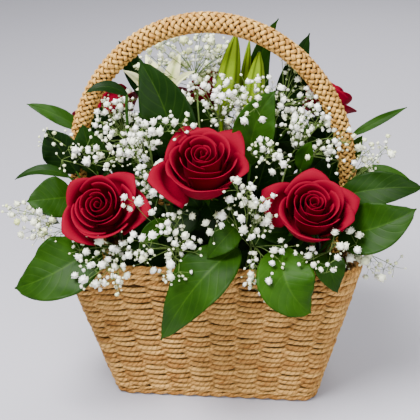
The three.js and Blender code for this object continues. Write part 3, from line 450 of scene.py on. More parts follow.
# %% Weave the wall
rows, stakes, steps_per_stake = 40, 30, 9
samples = stakes * steps_per_stake
rng = np.random.default_rng(7)
row = np.arange(rows)[:, None]
level = np.linspace(foot_height + 1.6, wall_top - 1.0, rows)[:, None]
turn = (np.arange(samples) / samples)[None]
wobble = 0.02 * sin(2 * pi * (turn * 5 + rng.random((rows, 1))))
swing = cos(pi * (turn * stakes + wobble * 4) + pi * row)
over = np.sign(swing) * np.abs(swing) ** 0.6
drift = 0.4 * sin(2 * pi * (turn * 3 + rng.random((rows, 1))))
cord_depth, cord_swing = -3.8, 2.3
path, outward = on_basket(turn, level + drift - 0.8 * np.clip(over, 0, 1) + 0.3,
                          cord_depth + cord_swing * over)
size = 1 + 0.08 * rng.standard_normal((rows, 1)) + 0.05 * sin(turn * 260 + 9 * rng.random((rows, 1)))
# Painted shade: where a cord dives behind a stake, this share turns its finish towards the darkest colour.
behind = 0.9 * smooth(0.25 - 0.95 * over)
half_height, half_depth = size * (2.25 + 0.5 * over), size * (2.0 + 0.35 * over)
cords = tubes(path, half_height, outward, thick=half_depth, closed=True, offset=rng.random(rows) * 500)
wall = Skin().add(cords, shade=rng.random(rows), side=np.repeat(behind, cord_sides, axis=1))
print("stitches on show:", rows * stakes // 2)

# %% Paint shade behind the wall and weave the floor
# The band behind the cords is a dark sheet of painted shade: its side of 0.8 gives it mostly the darkest
# colour.
wall.add(band(np.linspace(3.0, wall_top, 12), -5.4, -7.6), shade=0.0, side=0.8)
lanes, floor_level = 17, 4.2
y = np.linspace(-50, 50, lanes)[:, None]
reach = 101 - 0.08 * np.clip(np.abs(y) - 43, 0, None) ** 2
along = np.linspace(-1, 1, 61)[None]
weave = cos(pi * along * 10 + pi * np.arange(lanes)[:, None])
floor_path = np.stack([reach * along, y + 0 * along, floor_level + 1.1 * weave], -1)
wall.add(tubes(floor_path, 3.1, (0, 0, 1.0), thick=2.2, offset=rng.random(lanes) * 90),
         shade=rng.random(lanes))
wall.piece("basket_weave", rush, "woven_rush", "basket_body")

# %% [markdown]
# ## Borders of twisted cord
#
# The rim and the foot are laid from rope: two strands wind slowly round each other. A strand is a tube
# along a helix, and the helix itself follows the basket's outline.

# %% Rim and foot
def rope(skin, z, out, radius, pitch, rng, length):
    """Two strands round the basket: each is the outline plus 0.46 radius, turned once in a pitch."""
    turns = round(length / pitch)
    turn = np.arange(turns * 10)[None] / (turns * 10)
    spin = 2 * pi * (turns * turn + np.array([[0], [0.5]]))
    reach = radius * 0.46
    wave = 0.2 * sin(2 * pi * (3 * turn + rng.random()))
    path, normal = on_basket(turn + 0 * spin, z + reach * sin(spin) + wave,
                             out + reach * cos(spin))
    strands = tubes(path, radius * 0.62, normal, closed=True, offset=rng.random(2) * 300)
    skin.add(strands, shade=rng.random(2))


def border(name, node, seed, length, shade_backing, ropes):
    """One border piece: ropes, with a band of painted shade behind them. Each rope has a height, a distance
    out, a radius and a pitch.
    """
    rng = np.random.default_rng(seed)
    skin = Skin()
    for z, out, radius, pitch in ropes:
        rope(skin, z, out, radius, pitch, rng, length)
    # The band behind the ropes is painted shade: its side of 0.9 gives it mostly the darkest colour.
    return skin.add(shade_backing, shade=0.0, side=0.9).piece(name, rush, "woven_rush", node)


rim = border("rim_rope", "rim_border", 12, 900.0, band(np.linspace(147.5, 164.0, 4), -4.4, -7.4), (
    (150.2, -3.1, 3.3, 30.0), (156.8, -3.1, 3.4, 30.0), (163.6, -3.1, 3.4, 30.0),
    (149.8, -8.3, 2.6, 26.0), (155.4, -8.3, 2.6, 26.0), (161.0, -8.3, 2.6, 26.0),
    (165.2, -6.6, 2.4, 24.0)))
border("foot_rope", "foot_border", 13, 640.0, band(np.linspace(1.0, 11.0, 3), -3.6, -6.2), (
    (3.9, -2.7, 3.2, 30.0), (9.2, -2.7, 2.3, 30.0)))

# %% [markdown]
# ## The plaited handle
#
# The handle is a round braid. Six strands wind one way and six the other, and where two cross, one
# goes over and one under. The radius of a strand swings by a cosine that changes sign at each
# crossing, so the strands rise into rows of small knots that lean left and right by turns.

# %% The handle's line
leg_bottom, arch_start, arch_rise = 72.0, 229.0, 157.5
arch_half_span, arch_shift, rim_half_span = 138.0, -4.0, 130.8
rim_flare = (top_size[0] - base_size[0]) / 2 / basket_height


def handle_points():
    """Corner points of the handle's middle line: down the flared ends, and round a half ellipse."""
    legs = np.array([leg_bottom, wall_top, basket_height])
    span = rim_half_span - (basket_height - legs) * rim_flare
    angle = pi - np.radians(np.arange(0, 181, 22.5))
    arch = np.stack([arch_shift + arch_half_span * cos(angle), arch_start + arch_rise * sin(angle)], 1)
    return np.concatenate([np.stack([-span, legs], 1), arch, np.stack([span, legs], 1)[::-1]])


def between(t, t0, t1, a, b):
    """The point that is at a when t is t0 and at b when t is t1."""
    return (t1 - t) / (t1 - t0) * a + (t - t0) / (t1 - t0) * b


def smooth_curve(points, count):
    """A centripetal Catmull-Rom curve through the points, read at equal steps of length."""
    p = np.concatenate([[2 * points[0] - points[1]], points, [2 * points[-1] - points[-2]]])
    knot = np.concatenate([[0], np.cumsum(np.linalg.norm(np.diff(p, axis=0), axis=1) ** 0.5)])
    fine = []
    for k in range(1, len(p) - 2):
        t = np.linspace(knot[k], knot[k + 1], 60, endpoint=False)[:, None]
        t0, t1, t2, t3 = knot[k - 1:k + 3]
        a1 = between(t, t0, t1, p[k - 1], p[k])
        a2 = between(t, t1, t2, p[k], p[k + 1])
        a3 = between(t, t2, t3, p[k + 1], p[k + 2])
        fine.append(between(t, t1, t2, between(t, t0, t2, a1, a2), between(t, t1, t3, a2, a3)))
    fine = np.concatenate(fine + [p[-2:-1]])
    length = np.concatenate([[0], np.cumsum(np.linalg.norm(np.diff(fine, axis=0), axis=1))])
    at = np.linspace(0, length[-1], count)
    return np.stack([np.interp(at, length, fine[:, k]) for k in range(fine.shape[1])], 1), length[-1]


# %% Braid the handle
knot_pitch, strands, steps_per_knot = 6.5, 6, 8
leg_radius, arch_radius, radius_gain = 7.2, 9.8, 2.6
strand_depth, strand_swing, core_depth = 2.3, 1.25, 2.9
knots = round(smooth_curve(handle_points(), 10)[1] / knot_pitch)
steps = knots * steps_per_knot + 1
line, handle_length = smooth_curve(handle_points(), steps)
middle = np.stack([line[:, 0], np.zeros(steps), line[:, 1]], 1)
out_axis = np.cross(unit(np.gradient(middle, axis=0)), [0.0, 1.0, 0.0])
side_axis = np.broadcast_to([0.0, 1.0, 0.0], middle.shape)
share = np.linspace(0, 1, steps)
handle_radius = leg_radius + radius_gain * sin(pi * share) ** 1.5
rng = np.random.default_rng(21)
crossing = pi * share * knots * 2
braid = Skin()
for way in (1, -1):
    angle = 2 * pi * np.arange(strands)[:, None] / strands + way * crossing / strands
    lift = way * cos(crossing)
    lift = np.sign(lift) * np.abs(lift) ** 0.8
    outward = cos(angle)[..., None] * out_axis + sin(angle)[..., None] * side_axis
    path = middle + (handle_radius - strand_depth + strand_swing * lift)[..., None] * outward
    stitch = np.round(crossing / (2 * pi) + (way - 1) / 4).astype(int) + 1
    tone = rng.random((strands, knots + 3))[:, stitch]
    lump = 1 + 0.1 * rng.standard_normal((strands, knots + 3))[:, stitch]
    wide = lump * handle_radius / arch_radius * (1.95 + 0.35 * lift)
    # Painted shade where a strand dives under another.
    painted_dive_shade = 0.85 * smooth(0.1 - 0.9 * lift)
    braid.add(tubes(path, wide, outward, thick=1.4 + 0.4 * lift, offset=rng.random(strands) * 200),
              shade=np.repeat(0.1 + 0.9 * tone, cord_sides, axis=1),
              side=np.repeat(painted_dive_shade, cord_sides)[None])
# The core is painted all in the darkest colour: it shows between the strands as painted shade.
core_line, core_out = middle[::steps_per_knot], out_axis[::steps_per_knot]
core_radius = handle_radius[::steps_per_knot] - core_depth
braid.add(tubes(core_line, core_radius, core_out, sides=12), shade=0.0, side=1.0)
handle = braid.piece("handle_plait", plait_rush, "plaited_rush", "handle")
print("handle length", round(handle_length), "mm, knots", knots)

# %% [markdown]
# ## Liner and foam
#
# The solid liner and foam block have the right shape already, so they keep their solids and only get a
# finish: a thin dark film with soft creases, and dull green foam with fine pores.

# %% Finish the liner and the foam
def film_finish():
    material, tree = new_finish("liner film", Roughness=0.85, Specular_IOR_Level=0.03)
    crease = mottling(tree, 45.0, 1.6)
    return complete(material, blend(crease, (26, 32, 27), (48, 56, 48)), crease, 0.5, 0.002)


def foam_finish():
    material, tree = new_finish("floral foam", Roughness=0.95, Specular_IOR_Level=0.05)
    pore = add(tree, "TexVoronoi", Vector=add(tree, "TexCoord", output="Object"), Scale=420.0)
    colour = blend(mottling(tree, 90.0, 1.8), (13, 30, 6), (26, 46, 12))
    # The pores are painted shade: dark dots in the foam's holes.
    colour = blend(math_node("LESS_THAN", pore, 0.16), colour, (5, 12, 3))
    return complete(material, colour, pore, 0.6, 0.0008)


for name, finish in (("liner", film_finish()), ("floral_foam", foam_finish())):
    nodes[name].data.materials.clear()
    nodes[name].data.materials.append(finish)
    print(name, "finished with", finish.name)

# %% [markdown]
# ## Rose petals
#
# A rose is a spiral of petals. Each new petal is turned by the golden angle, stands further out and
# opens wider than the one before. The innermost ones wrap round a bud. The outermost bend back, roll
# their sides under and draw out to a soft point in the middle.

# %% The velvet finish
def petal_finish():
    """Crimson with painted shade that deepens it towards the heart of the rose and the root of each
    petal, a thin painted highlight at the rim, and fine veins. A petal's shade is 0 at the heart and 1
    outside."""
    material, tree = new_finish("rose petal", Roughness=0.75, Specular_IOR_Level=0.05)
    shade, side, rim = look_of(tree)
    across, along = lay_of(tree)
    colour = blend(mottling(tree, 38.0, 1.6), (102, 0, 22), (121, 0, 30))
    # Painted shade towards the heart of the rose.
    colour = blend(shade, (100, 0, 21), colour)
    # Painted shade towards the root of each petal.
    colour = blend(((0.8 - along).clamped() * 1.1).clamped(), colour, (98, 0, 20))
    # A painted highlight along the rim, strongest on the outer petals.
    colour = blend(rim ** 14.0 * (shade * 0.2), colour, (150, 8, 46))
    colour = blend(side * 0.25, colour, (104, 0, 24))
    place = add(tree, "CombineXYZ", X=across * 26.0, Y=along * 1.5, Z=shade * 40.0)
    vein = add(tree, "TexNoise", Vector=place, Scale=1.0, Detail=2.0)
    return complete(material, colour, vein, 0.22)


velvet = petal_finish()


# %% One rose of radius 1
def rose_petals(count, seed, start):
    """Middle surfaces of a rose's petals, radius 1, facing +Z, from the heart outwards.
    With t from 0 at the heart to 1 at the outside, a petal's middle line runs from the root through a
    belly to its rim at radius R(t) and height H(t). Across the petal the angle spreads by S(t), one edge
    tucks in, the sides fall away, and near the rim the petal rolls outwards. The last petal points
    to `start`, and petals on the front side, -Y, stay closed."""
    rng = np.random.default_rng(seed)
    k = np.arange(count)
    t = (k / (count - 1))[:, None, None]
    jitter = lambda size: size * (rng.random((count, 1, 1)) * 2 - 1)
    golden = pi * (3 - math.sqrt(5))
    angle = (start + (k - count + 1) * golden)[:, None, None] + jitter(0.34)
    u, v = petal_grid(15, 19)
    front = np.clip(-sin(angle), 0, 1) ** 2
    open_out = smooth((t - 0.4) / 0.6) * (1 - 0.75 * front)
    rim_radius = 0.05 + 0.93 * t ** 1.2 + jitter(0.024)
    rim_height = 0.34 + 0.14 * t + jitter(0.04)
    rim_radius = rim_radius * (1 - 0.05 * front * t)
    rim_height = rim_height - 0.56 * (1 - 0.66 * front) * (np.clip(t - 0.4, 0, 1) / 0.6) ** 1.4
    spread = 1.75 - 0.98 * t ** 0.6
    rise = v * (1 - (0.08 + 0.27 * open_out) * np.abs(u) ** (2.6 - 1.3 * open_out))
    radius = cubic(rise, 0.04 + 0.03 * t, rim_radius * (0.86 - 0.05 * t) + 0.10,
                   rim_radius * (0.78 - 0.02 * open_out), rim_radius)
    height = cubic(rise, -0.52, -0.62 + 0.12 * (1 - t), rim_height - 0.26 + 0.2 * open_out, rim_height)
    roll = np.clip((v - 0.74) / 0.26, 0, 1) ** 2
    sides = np.abs(u) ** 1.5
    roll_size = 0.012 + 0.045 * t
    point = 0.2 * open_out * roll * (1 - np.abs(u)) ** 1.3
    radius = radius + roll_size * roll * (0.45 + 0.55 * sides) + point
    height = height - roll_size * (0.2 + 1.2 * open_out) * roll * (0.3 + 0.9 * sides)
    radius = radius * (1 + (0.17 - 0.11 * t) * u * np.clip(v * 1.6, 0, 1))
    wave = 0.04 * t * sin(3.1 * u + 6 * rng.random((count, 1, 1))) * v ** 2
    wave = wave + jitter(0.08) * t * u * v ** 2
    angle = angle + spread * (0.42 + 0.58 * smooth(v / 0.55)) * u
    radius = radius + 0.05 * t * (1 - u * u) * sin(pi * v)
    points = np.stack([radius * cos(angle), radius * sin(angle), height + wave + 0 * radius], -1)
    # The second result is each petal's shade, 0 at the heart and 1 outside, from which the finish paints
    # shade towards the heart.
    return points, smooth(k / (0.55 * count)) * 0.8 + 0.2 * rng.random(count)


def facing_turn(facing):
    """The rotation that takes +Z to `facing` by the shortest way."""
    return Vector((0, 0, 1)).rotation_difference(Vector(facing).normalized()).to_matrix()


def rose_bloom(name, place, facing, size, petals, seed, start):
    """The bloom of one rose. Its look marks each petal's back, and how near a point is to the rim, where the
    finish paints a highlight.
    """
    points, shade = rose_petals(petals, seed, math.radians(start))
    rows, cols = points.shape[1:3]
    rim = np.tile(np.repeat(np.linspace(0, 1, rows), cols), 2)[None]
    skin = Skin().add(sheets(points * size, 0.45), shade=shade, side=np.repeat([0, 1], rows * cols)[None],
                      rim=rim)
    return skin.place(facing_turn(facing), place).piece(name + "_bloom", velvet, "rose_petal", name)


# Each rose: place, facing, radius; petals, seed and bearing of the last petal; where the stem stands, as a
# share of the bloom's distance from the middle.
roses = {
    "rose_left": ((-100, -80, 228), (-0.05, -0.76, 0.65), 41, (21, 31, 340), 0.5),
    "rose_centre": ((-2, -71, 271), (0.06, -0.5, 0.86), 47, (22, 32, 190), 0.4),
    "rose_right": ((100, -78, 230), (0.14, -0.58, 0.8), 42, (21, 33, 165), 0.48),
    "rose_back_left": ((-124, 64, 283), (-0.5, 0.42, 0.76), 36, (20, 34, 0), 0.48),
    "rose_back_centre": ((-8, 76, 296), (-0.04, 0.55, 0.83), 37, (20, 35, 100), 0.48),
    "rose_back_right": ((110, 66, 292), (0.42, 0.42, 0.8), 36, (20, 36, 50), 0.46),
}
blooms = [rose_bloom(name, *where, *petals) for name, (*where, petals, _) in roses.items()]

# %% [markdown]
# ## Stem lines
#
# A stem stands straight in its hole in the foam and then bends over to its flower. Its line is a
# quadratic curve from the foot to the flower, cut off where it leaves the foam, with a straight foot.

# %% Stem lines
stem_foot, foam_exit = 100.0, 178.0


def stem_line(foot, end, arrival):
    """Straight from the foot to the foam's top, then along a quadratic curve that arrives at `end`."""
    foot, end = np.array(foot, float), np.array(end, float)
    over = end - 0.42 * np.linalg.norm(end - foot) * unit(np.array(arrival, float))
    leaving = 0.1
    while leaving < 0.9 and bend(leaving, foot, over, end)[2] < foam_exit:
        leaving += 0.05
    return np.concatenate([[foot], bend(np.linspace(leaving, 1, 14)[:, None], foot, over, end)])


def foot_under(place, share):
    """Where a stem stands on the foam's floor: at a share of the flower's distance from the middle."""
    return np.array([place[0] * share, place[1] * share, stem_foot])


# %% [markdown]
# ## Leaves
#
# A leaf is a ribbon along a bent line, widest before its middle and drawn out to a point. It is folded a
# little along its midrib, and the veins run from the rib forwards to the edge. The veins are shallow
# grooves in the surface and slightly paler lines in its finish.

# %% Leaf finish
# Leaf veins: with u across and v along, the midrib is where u is near 0 and the side veins are where
# Count v - Slant |u| is near a whole number.
tree, (vein_count, slant) = new_group("Leaf veins", Count=9.0, Slant=2.4)
across, along = lay_of(tree)
across = math_node("ABSOLUTE", across)
near = math_node("PINGPONG", along * vein_count - across * slant, 0.5)
veins = close_group(tree, Midrib=(1.0 - across * 22.0).clamped(), Side=(1.0 - near * 9.0).clamped())


def leaf_finish():
    """Deep green to fresh green by the leaf's shade, which is partly its own tone and partly painted shade on
    leaves that stand in shadow; the under side and the stems are duller.
    """
    material, tree = new_finish("leaf", Specular_IOR_Level=0.06)
    shade, under, _ = look_of(tree)
    patch = mottling(tree, 32.0, 1.7)
    midrib, side_vein = veins(tree, 9.0, 2.4)
    # The leaf's shade: partly its own tone, partly painted shade for leaves in shadow.
    colour = blend(patch, blend(shade, (1, 13, 1), (26, 58, 5)), blend(shade, (6, 28, 3), (54, 94, 9)))
    colour = blend(side_vein * 0.05, colour, (84, 120, 30))
    colour = blend(midrib * 0.16, colour, (80, 116, 28))
    colour = blend(under * 0.4, colour, (48, 80, 24))
    return complete(material, colour, side_vein * -0.5 + patch * 0.6, 0.25,
                    Roughness=under * 0.25 + (patch * 0.16 + 0.36))


leaf_green = leaf_finish()


# %% One leaf
def leaf_surface(base, over, tip, width, face, wave=0.05, rows=41, cols=19):
    """The ribbon P(u, v) = line(v) - u w(v) sideways + lift upwards, with the half width
    w = width/2 sin(pi v^0.82)^0.85, a fold, a slow wave at the edges and grooves for the veins."""
    u, v = (grid[0] for grid in petal_grid(rows, cols))
    base, over, tip = (np.array(p, float) for p in (base, over, tip))
    line = bend(v, base, over, tip)
    tangent = unit(2 * (1 - v) * (over - base) + 2 * v * (tip - over))
    sideways = unit(np.cross(tangent, face))
    upward = unit(np.cross(sideways, tangent))
    half = width / 2 * np.maximum(0.05, sin(pi * v ** 0.82) ** 0.85)
    half = np.where(v > 0.93, half * (1 - (v - 0.93) / 0.07) + 0.25, half)
    side = np.abs(u)
    swell = sin(pi * v)
    lift = 0.18 * side * half + wave * width * side * sin(9 * v + 2 * u) * swell
    edge = 0.012 * width * side ** 4 * sin(31 * v + 4 * u)
    rank = 9 * v - 2.4 * side
    groove = np.exp(-((rank - np.round(rank)) / 0.16) ** 2) * smooth(side / 0.12) * smooth((1 - side) / 0.2)
    lift = lift + edge - 0.005 * width * (groove + 1.4 * np.exp(-(u / 0.07) ** 2)) * swell
    return line[:, None] - (u * half)[..., None] * sideways[:, None] + lift[..., None] * upward[:, None]


def add_leaf(skin, points, shade):
    """Gives a leaf its thickness. The first of its two skins is the under side."""
    side = np.repeat([1.0, 0.0], points.shape[0] * points.shape[1])[None]
    skin.add(sheets(points[None], 0.7), shade=shade, side=side)


# %% Leafy stems
def leafy_stem(name, foot, arrival, leaves):
    """The stem runs into its first leaf, and the others branch off at `joint`, a share of its way."""
    skin = Skin()
    for joint, base, over, tip, width, face, shade, *wave in leaves:
        ahead = unit(np.subtract(over, base).astype(float))
        heel = np.array(base, float) + 2.5 * ahead
        if not joint:
            line = stem_line((*foot, stem_foot), heel, arrival)
            skin.stems(line, 1.5, 8, shade=0.4)
        add_leaf(skin, leaf_surface(base, over, tip, width, face, *wave), shade)
        if joint:
            reach = joint * (len(line) - 2)
            k = int(reach)
            start = line[k + 1] + (line[k + 2] - line[k + 1]) * (reach - k)
            knee = heel - 0.35 * np.linalg.norm(start - heel) * ahead
            skin.stems(bends(start, knee, heel, 8), 1.0, shade=0.4)
    return skin.piece("green_" + name, leaf_green, "leaf", "leaves_" + name)


# Each stem: foot, direction of arrival, leaves. Each leaf: joint (0 for the leaf at the stem's end), base,
# the point it bends over, tip, width, facing, shade (partly the leaf's own tone, partly painted shade
# for leaves that stand in shadow), and the size of its wave where that is not 0.05.
sprigs = {
    "front_left_low": ((-62, -30), (-0.8, -0.3, 0.3), [
        (0, (-108, -72, 186), (-135, -120, 174), (-186, -104, 150), 62, (-0.05, -0.75, 0.65), 0.4)]),
    "left_middle": ((-66, -20), (-0.7, -0.3, 0.6), [
        (0, (-134, -42, 222), (-153, -62, 228), (-177, -66, 226), 42, (-0.1, -0.8, 0.6), 0.35),
        (0.7, (-142, -30, 237), (-168, -37, 257), (-196, -40, 238), 12, (-0.1, -0.6, 0.8), 0.2),
        (0.7, (-137, -20, 238), (-151, -26, 266), (-163, -24, 286), 40, (-0.1, -0.9, 0.3), 0.05),
        (0.7, (-117, -15, 236), (-123, -21, 262), (-128, -17, 289), 35, (0, -0.9, 0.4), 0.15)]),
    "left_high": ((-58, 13), (-0.5, 0.1, 0.8), [
        (0, (-139, 26, 267), (-167, 26, 287), (-199, 30, 294), 17, (0.1, -0.8, 0.6), 0.45),
        (0.7, (-120, 36, 228), (-126, 30, 256), (-120, 36, 292), 36, (0, -0.9, 0.4), 0.0),
        (0.6, (-122, 24, 194), (-132, 20, 222), (-136, 25, 252), 34, (0, -0.9, 0.4), 0.05)]),
    "left_shoulder": ((-34, -5), (0.1, -0.05, 1), [
        (0, (-78, -26, 321), (-96, -34, 341), (-117, -36, 327), 12, (0.1, -0.7, 0.7), 0.05)]),
    "big_upright": ((-20, -10), (-0.1, -0.05, 1), [
        (0, (-33, -20, 243), (-34, -31, 306), (-68, -12, 353), 52, (0.1, -0.95, 0.2), 0.12, 0.03)]),
    "behind_left": ((-31, 27), (-0.1, 0.05, 1), [
        (0, (-74, 56, 288), (-86, 60, 324), (-101, 50, 356), 24, (0.1, -0.95, 0.2), 0.0)]),
    "twisted_front": ((-18, -32), (-0.2, -0.4, 0.9), [
        (0, (-34, -70, 208), (-52, -95, 218), (-62, -92, 190), 18, (0.5, -0.7, 0.3), 0.6)]),
    "hanging_front": ((11, -42), (0.1, -0.5, 0.7), [
        (0, (30, -76, 187), (-4, -133, 188), (-44, -106, 99), 54, (-0.2, -0.7, 0.7), 0.4, 0.03),
        (0.7, (32, -72, 212), (20, -99, 210), (3, -98, 186), 26, (0.3, -0.75, 0.5), 0.4)]),
    "hanging_round": ((34, -35), (0.2, -0.7, 0.6), [
        (0, (72, -73, 190), (72, -134, 172), (101, -108, 137), 54, (0, -0.8, 0.6), 0.65, 0.02)]),
    "right_low": ((66, -25), (0.6, -0.2, 0.6), [
        (0, (126, -50, 194), (153, -82, 206), (196, -64, 227), 50, (0.1, -0.75, 0.65), 0.4),
        (0.7, (113, -80, 187), (115, -111, 192), (125, -98, 154), 30, (0.1, -0.7, 0.7), 0.35)]),
    "right_middle": ((60, -9), (0.4, -0.1, 0.9), [
        (0, (124, -30, 221), (158, -49, 244), (204, -40, 238), 34, (0.1, -0.8, 0.6), 0.2),
        (0.7, (87, -19, 245), (91, -28, 264), (97, -30, 279), 18, (-0.1, -0.9, 0.4), 0.5)]),
    "right_high": ((60, 12), (0.4, 0.1, 0.9), [
        (0, (135, 20, 220), (166, 14, 239), (206, 8, 215), 22, (0, -0.6, 0.8), 0.6),
        (0.7, (136, 28, 264), (163, 33, 280), (190, 26, 296), 10, (-0.3, -0.8, 0.5), 0.5),
        (0.8, (128, 18, 237), (138, 19, 251), (147, 14, 270), 18, (0.1, -0.95, 0.3), 0.4),
        (0.6, (110, 26, 196), (117, 21, 222), (122, 25, 254), 38, (0, -0.9, 0.4), 0.05),
        (0.7, (112, 42, 234), (114, 35, 262), (108, 40, 300), 36, (0, -0.9, 0.4), 0.0)]),
    "behind_right": ((25, 21), (0.15, 0.1, 1), [
        (0, (51, 48, 268), (27, 56, 328), (62, 48, 379), 22, (0, -1, 0.1), 0.2),
        (0.7, (71, 28, 270), (71, 29, 314), (93, 34, 368), 30, (0, -1, 0.1), 0.05),
        (0.5, (58, 36, 238), (61, 31, 268), (64, 36, 306), 36, (0, -0.9, 0.4), 0.0)]),
    "right_of_centre": ((16, -11), (0.1, -0.05, 1), [
        (0, (38, -22, 250), (37, -37, 299), (62, -16, 325), 40, (0.1, -1, 0.2), 0.5),
        (0.4, (40, -6, 198), (45, -14, 228), (56, -8, 260), 42, (0, -0.9, 0.4), 0.05)]),
    "back_left": ((-44, 38), (-0.4, 0.7, 0.5), [
        (0, (-88, 76, 188), (-106, 118, 204), (-116, 110, 138), 46, (-0.2, 0.7, 0.7), 0.4),
        (0.7, (-80, 76, 204), (-70, 104, 240), (-84, 112, 262), 34, (0.1, 0.9, 0.3), 0.3)]),
    "back_centre": ((-8, 46), (-0.1, 0.7, 0.6), [
        (0, (-16, 79, 188), (-28, 124, 202), (-36, 110, 126), 50, (-0.1, 0.7, 0.7), 0.5),
        (0.7, (-10, 79, 198), (2, 108, 234), (-12, 114, 256), 34, (0.1, 0.9, 0.3), 0.2)]),
    "back_right": ((38, 42), (0.2, 0.7, 0.5), [
        (0, (70, 77, 188), (84, 122, 202), (92, 110, 134), 48, (0.1, 0.7, 0.7), 0.45),
        (0.7, (72, 76, 202), (86, 104, 240), (74, 112, 262), 34, (0.1, 0.9, 0.3), 0.3)]),
}
greens = [leafy_stem(name, *plan) for name, plan in sprigs.items()]

# %% [markdown]
# ## Lilies
#
# The lily's stem carries three closed green buds and, on its own branch, a half-open white flower. A bud
# is a ring profile with six ribs. The open flower is six narrow sheets that lean out from a throat.

# %% Lily finishes
def bud_finish():
    """Yellow-green between darker ribs, with paler streaks."""
    material, tree = new_finish("lily bud", Roughness=0.5, Specular_IOR_Level=0.06)
    rib = math_node("COSINE", lay_of(tree)[1] * (2 * pi * 6)) * 0.5 + 0.5
    streak = fibres(tree, 0.015, 3.5, 0.0)
    colour = blend(mottling(tree, 60.0, 1.5), (88, 122, 5), (134, 160, 16))
    colour = blend(rib ** 3.0, colour, (26, 58, 2))
    return complete(material, blend(streak * 0.2, colour, (166, 184, 40)), streak, 0.3, 0.0005)


def tepal_finish():
    """Creamy white with a green midrib that fades towards the tip."""
    material, tree = new_finish("lily petal", Roughness=0.5, Sheen_Weight=0.15)
    across, along = lay_of(tree)
    rib = (1.0 - math_node("ABSOLUTE", across) * 2.4).clamped()
    colour = blend(mottling(tree, 50.0, 1.2), (226, 230, 160), (252, 248, 200))
    colour = blend(rib * (1.25 - along).clamped(), colour, (140, 176, 20))
    colour = blend((0.4 - along).clamped() * 2.0, colour, (160, 190, 50))
    return complete(material, colour, rib, 0.25)


bud_green, tepal_white = bud_finish(), tepal_finish()

# %% Buds on their stem
lily_foot, lily_fork = (5, 13, 100), np.array([10.0, 24, 250])
bloom_place, bloom_facing = np.array([-54.0, 22, 311]), unit(np.array([-0.02, -0.3, 0.95]))
bud_profile = ([0, 0.12, 0.34, 0.62, 0.88, 1.0], [0.2, 0.75, 1.0, 0.82, 0.42, 0.03])


def bud(skin, base, tip, radius):
    """Rings along base to tip of radius r(v)(1 + 0.07 cos 6a), drawn out to a point."""
    v = np.linspace(0, 1, 30)
    reach = np.pad(radius * np.interp(v, *bud_profile), 2, mode="edge")
    reach = np.convolve(reach, np.ones(5) / 5, "valid")
    skin.add(tubes(base + v[:, None] * (tip - base), reach, (0.2, -1.0, 0.1), sides=36, ribs=(0.07, 6)))


def lily_branch(skin, end, arrival):
    """A branch from the fork to `end`, where it arrives in the direction `arrival`."""
    over = end - 0.5 * np.linalg.norm(lily_fork - end) * arrival
    start = lily_fork - np.array([0, 0, 3.0])
    skin.add(tubes(bends(start, over, end, 12), 2.1))


skin = Skin().add(tubes(stem_line(lily_foot, lily_fork, (0.02, 0.05, 1)), 2.6, sides=10))
lily_branch(skin, bloom_place - bloom_facing * 35, bloom_facing)
for base, tip, radius in (((6, 24, 283), (22, 24, 371), 12), ((25, 36, 287), (34, 36, 361), 5.5),
                          ((36, 14, 287), (45, 16, 354), 10.5)):
    base, tip = np.array(base, float), np.array(tip, float)
    lily_branch(skin, base + unit(tip - base) * 3, unit(tip - base))
    bud(skin, base, tip, radius)
lily_green = skin.piece("lily_buds", bud_green, "lily_green", "lily_stem_and_buds")


# %% The half-open lily
def ray_sheets(count, out, sideways, up):
    """Points of `count` sheets that stand round an axis like the rays of a star."""
    spin = (2 * pi * np.arange(count) / count)[:, None, None]
    x = out * cos(spin) - sideways * sin(spin)
    y = out * sin(spin) + sideways * cos(spin)
    return np.stack([x, y, up + 0 * x], -1)


def tepals(size):
    """Six sheets: each leans from the throat out to `size` along a cubic curve, is widest at its middle
    and is cupped; the three outer ones open a little further."""
    outer = (np.arange(6) % 2)[:, None, None]
    u, v = petal_grid(25, 11)
    out = cubic(v, 3, 9 + 4 * outer, 10 + 6 * outer, size)
    up = cubic(v, -24, -6, 14, 24 + 2 * outer)
    half = 0.28 * size * np.maximum(sin(pi * (0.04 + 0.95 * v)), 0.02) ** 0.8
    out = out - 0.12 * half * u * u - 0.35 * np.exp(-(u / 0.2) ** 2)
    wave = 0.5 * sin(14 * v + 3 * u) * np.abs(u) ** 2
    return ray_sheets(6, out + wave, half * u, up + wave)


throat = np.array([[0, 0, -34.0], [0, 0, -28], [0, 0, -22], [0, 0, -15]])
skin = Skin().add(sheets(tepals(36), 0.7))
skin.add(tubes(throat, [2.6, 4.4, 4.4, 2.0], (0, 1.0, 0), sides=12))
skin.place(facing_turn(bloom_facing), bloom_place)
lily_open = skin.piece("lily_flower", tepal_white, "lily_petal", "lily_bloom")

# %% [markdown]
# ## What stands in the middle
#
# Behind the blooms it is dark: the rose stems carry leaves of their own, coloured deep green as painted
# shade, and they fill the room over the foam. Each of those leaves is tried at a random place on its
# stem and kept only if it clears everything that stands already. A search tree over the finished pieces
# answers that question.

# %% Is a place free?
def standing_tree(pieces):
    """A search tree over the finished pieces, to keep later ones clear of them."""
    points, faces = [], []
    for thing in pieces:
        start = len(points)
        points += [vertex.co for vertex in thing.data.vertices]
        faces += [[v + start for v in polygon.vertices] for polygon in thing.data.polygons]
    return BVHTree.FromPolygons(points, faces)


hand_low, hand_high = np.array([-34, -26, 352.0]), np.array([10, 26, 371.0])
least_gap = 0.4


def is_free(tree, place, gap):
    """True if the place is outside the room for a hand, and nothing stands within `gap` of it."""
    if np.all(place > hand_low - gap) and np.all(place < hand_high + gap):
        return False
    return tree.find_nearest(Vector(place) * MM, (gap + least_gap) * MM)[0] is None


# %% Rose stems with their sepals and leaves
leaves_wanted, lowest_leaf, leaf_above_bloom = 16, 181, 24


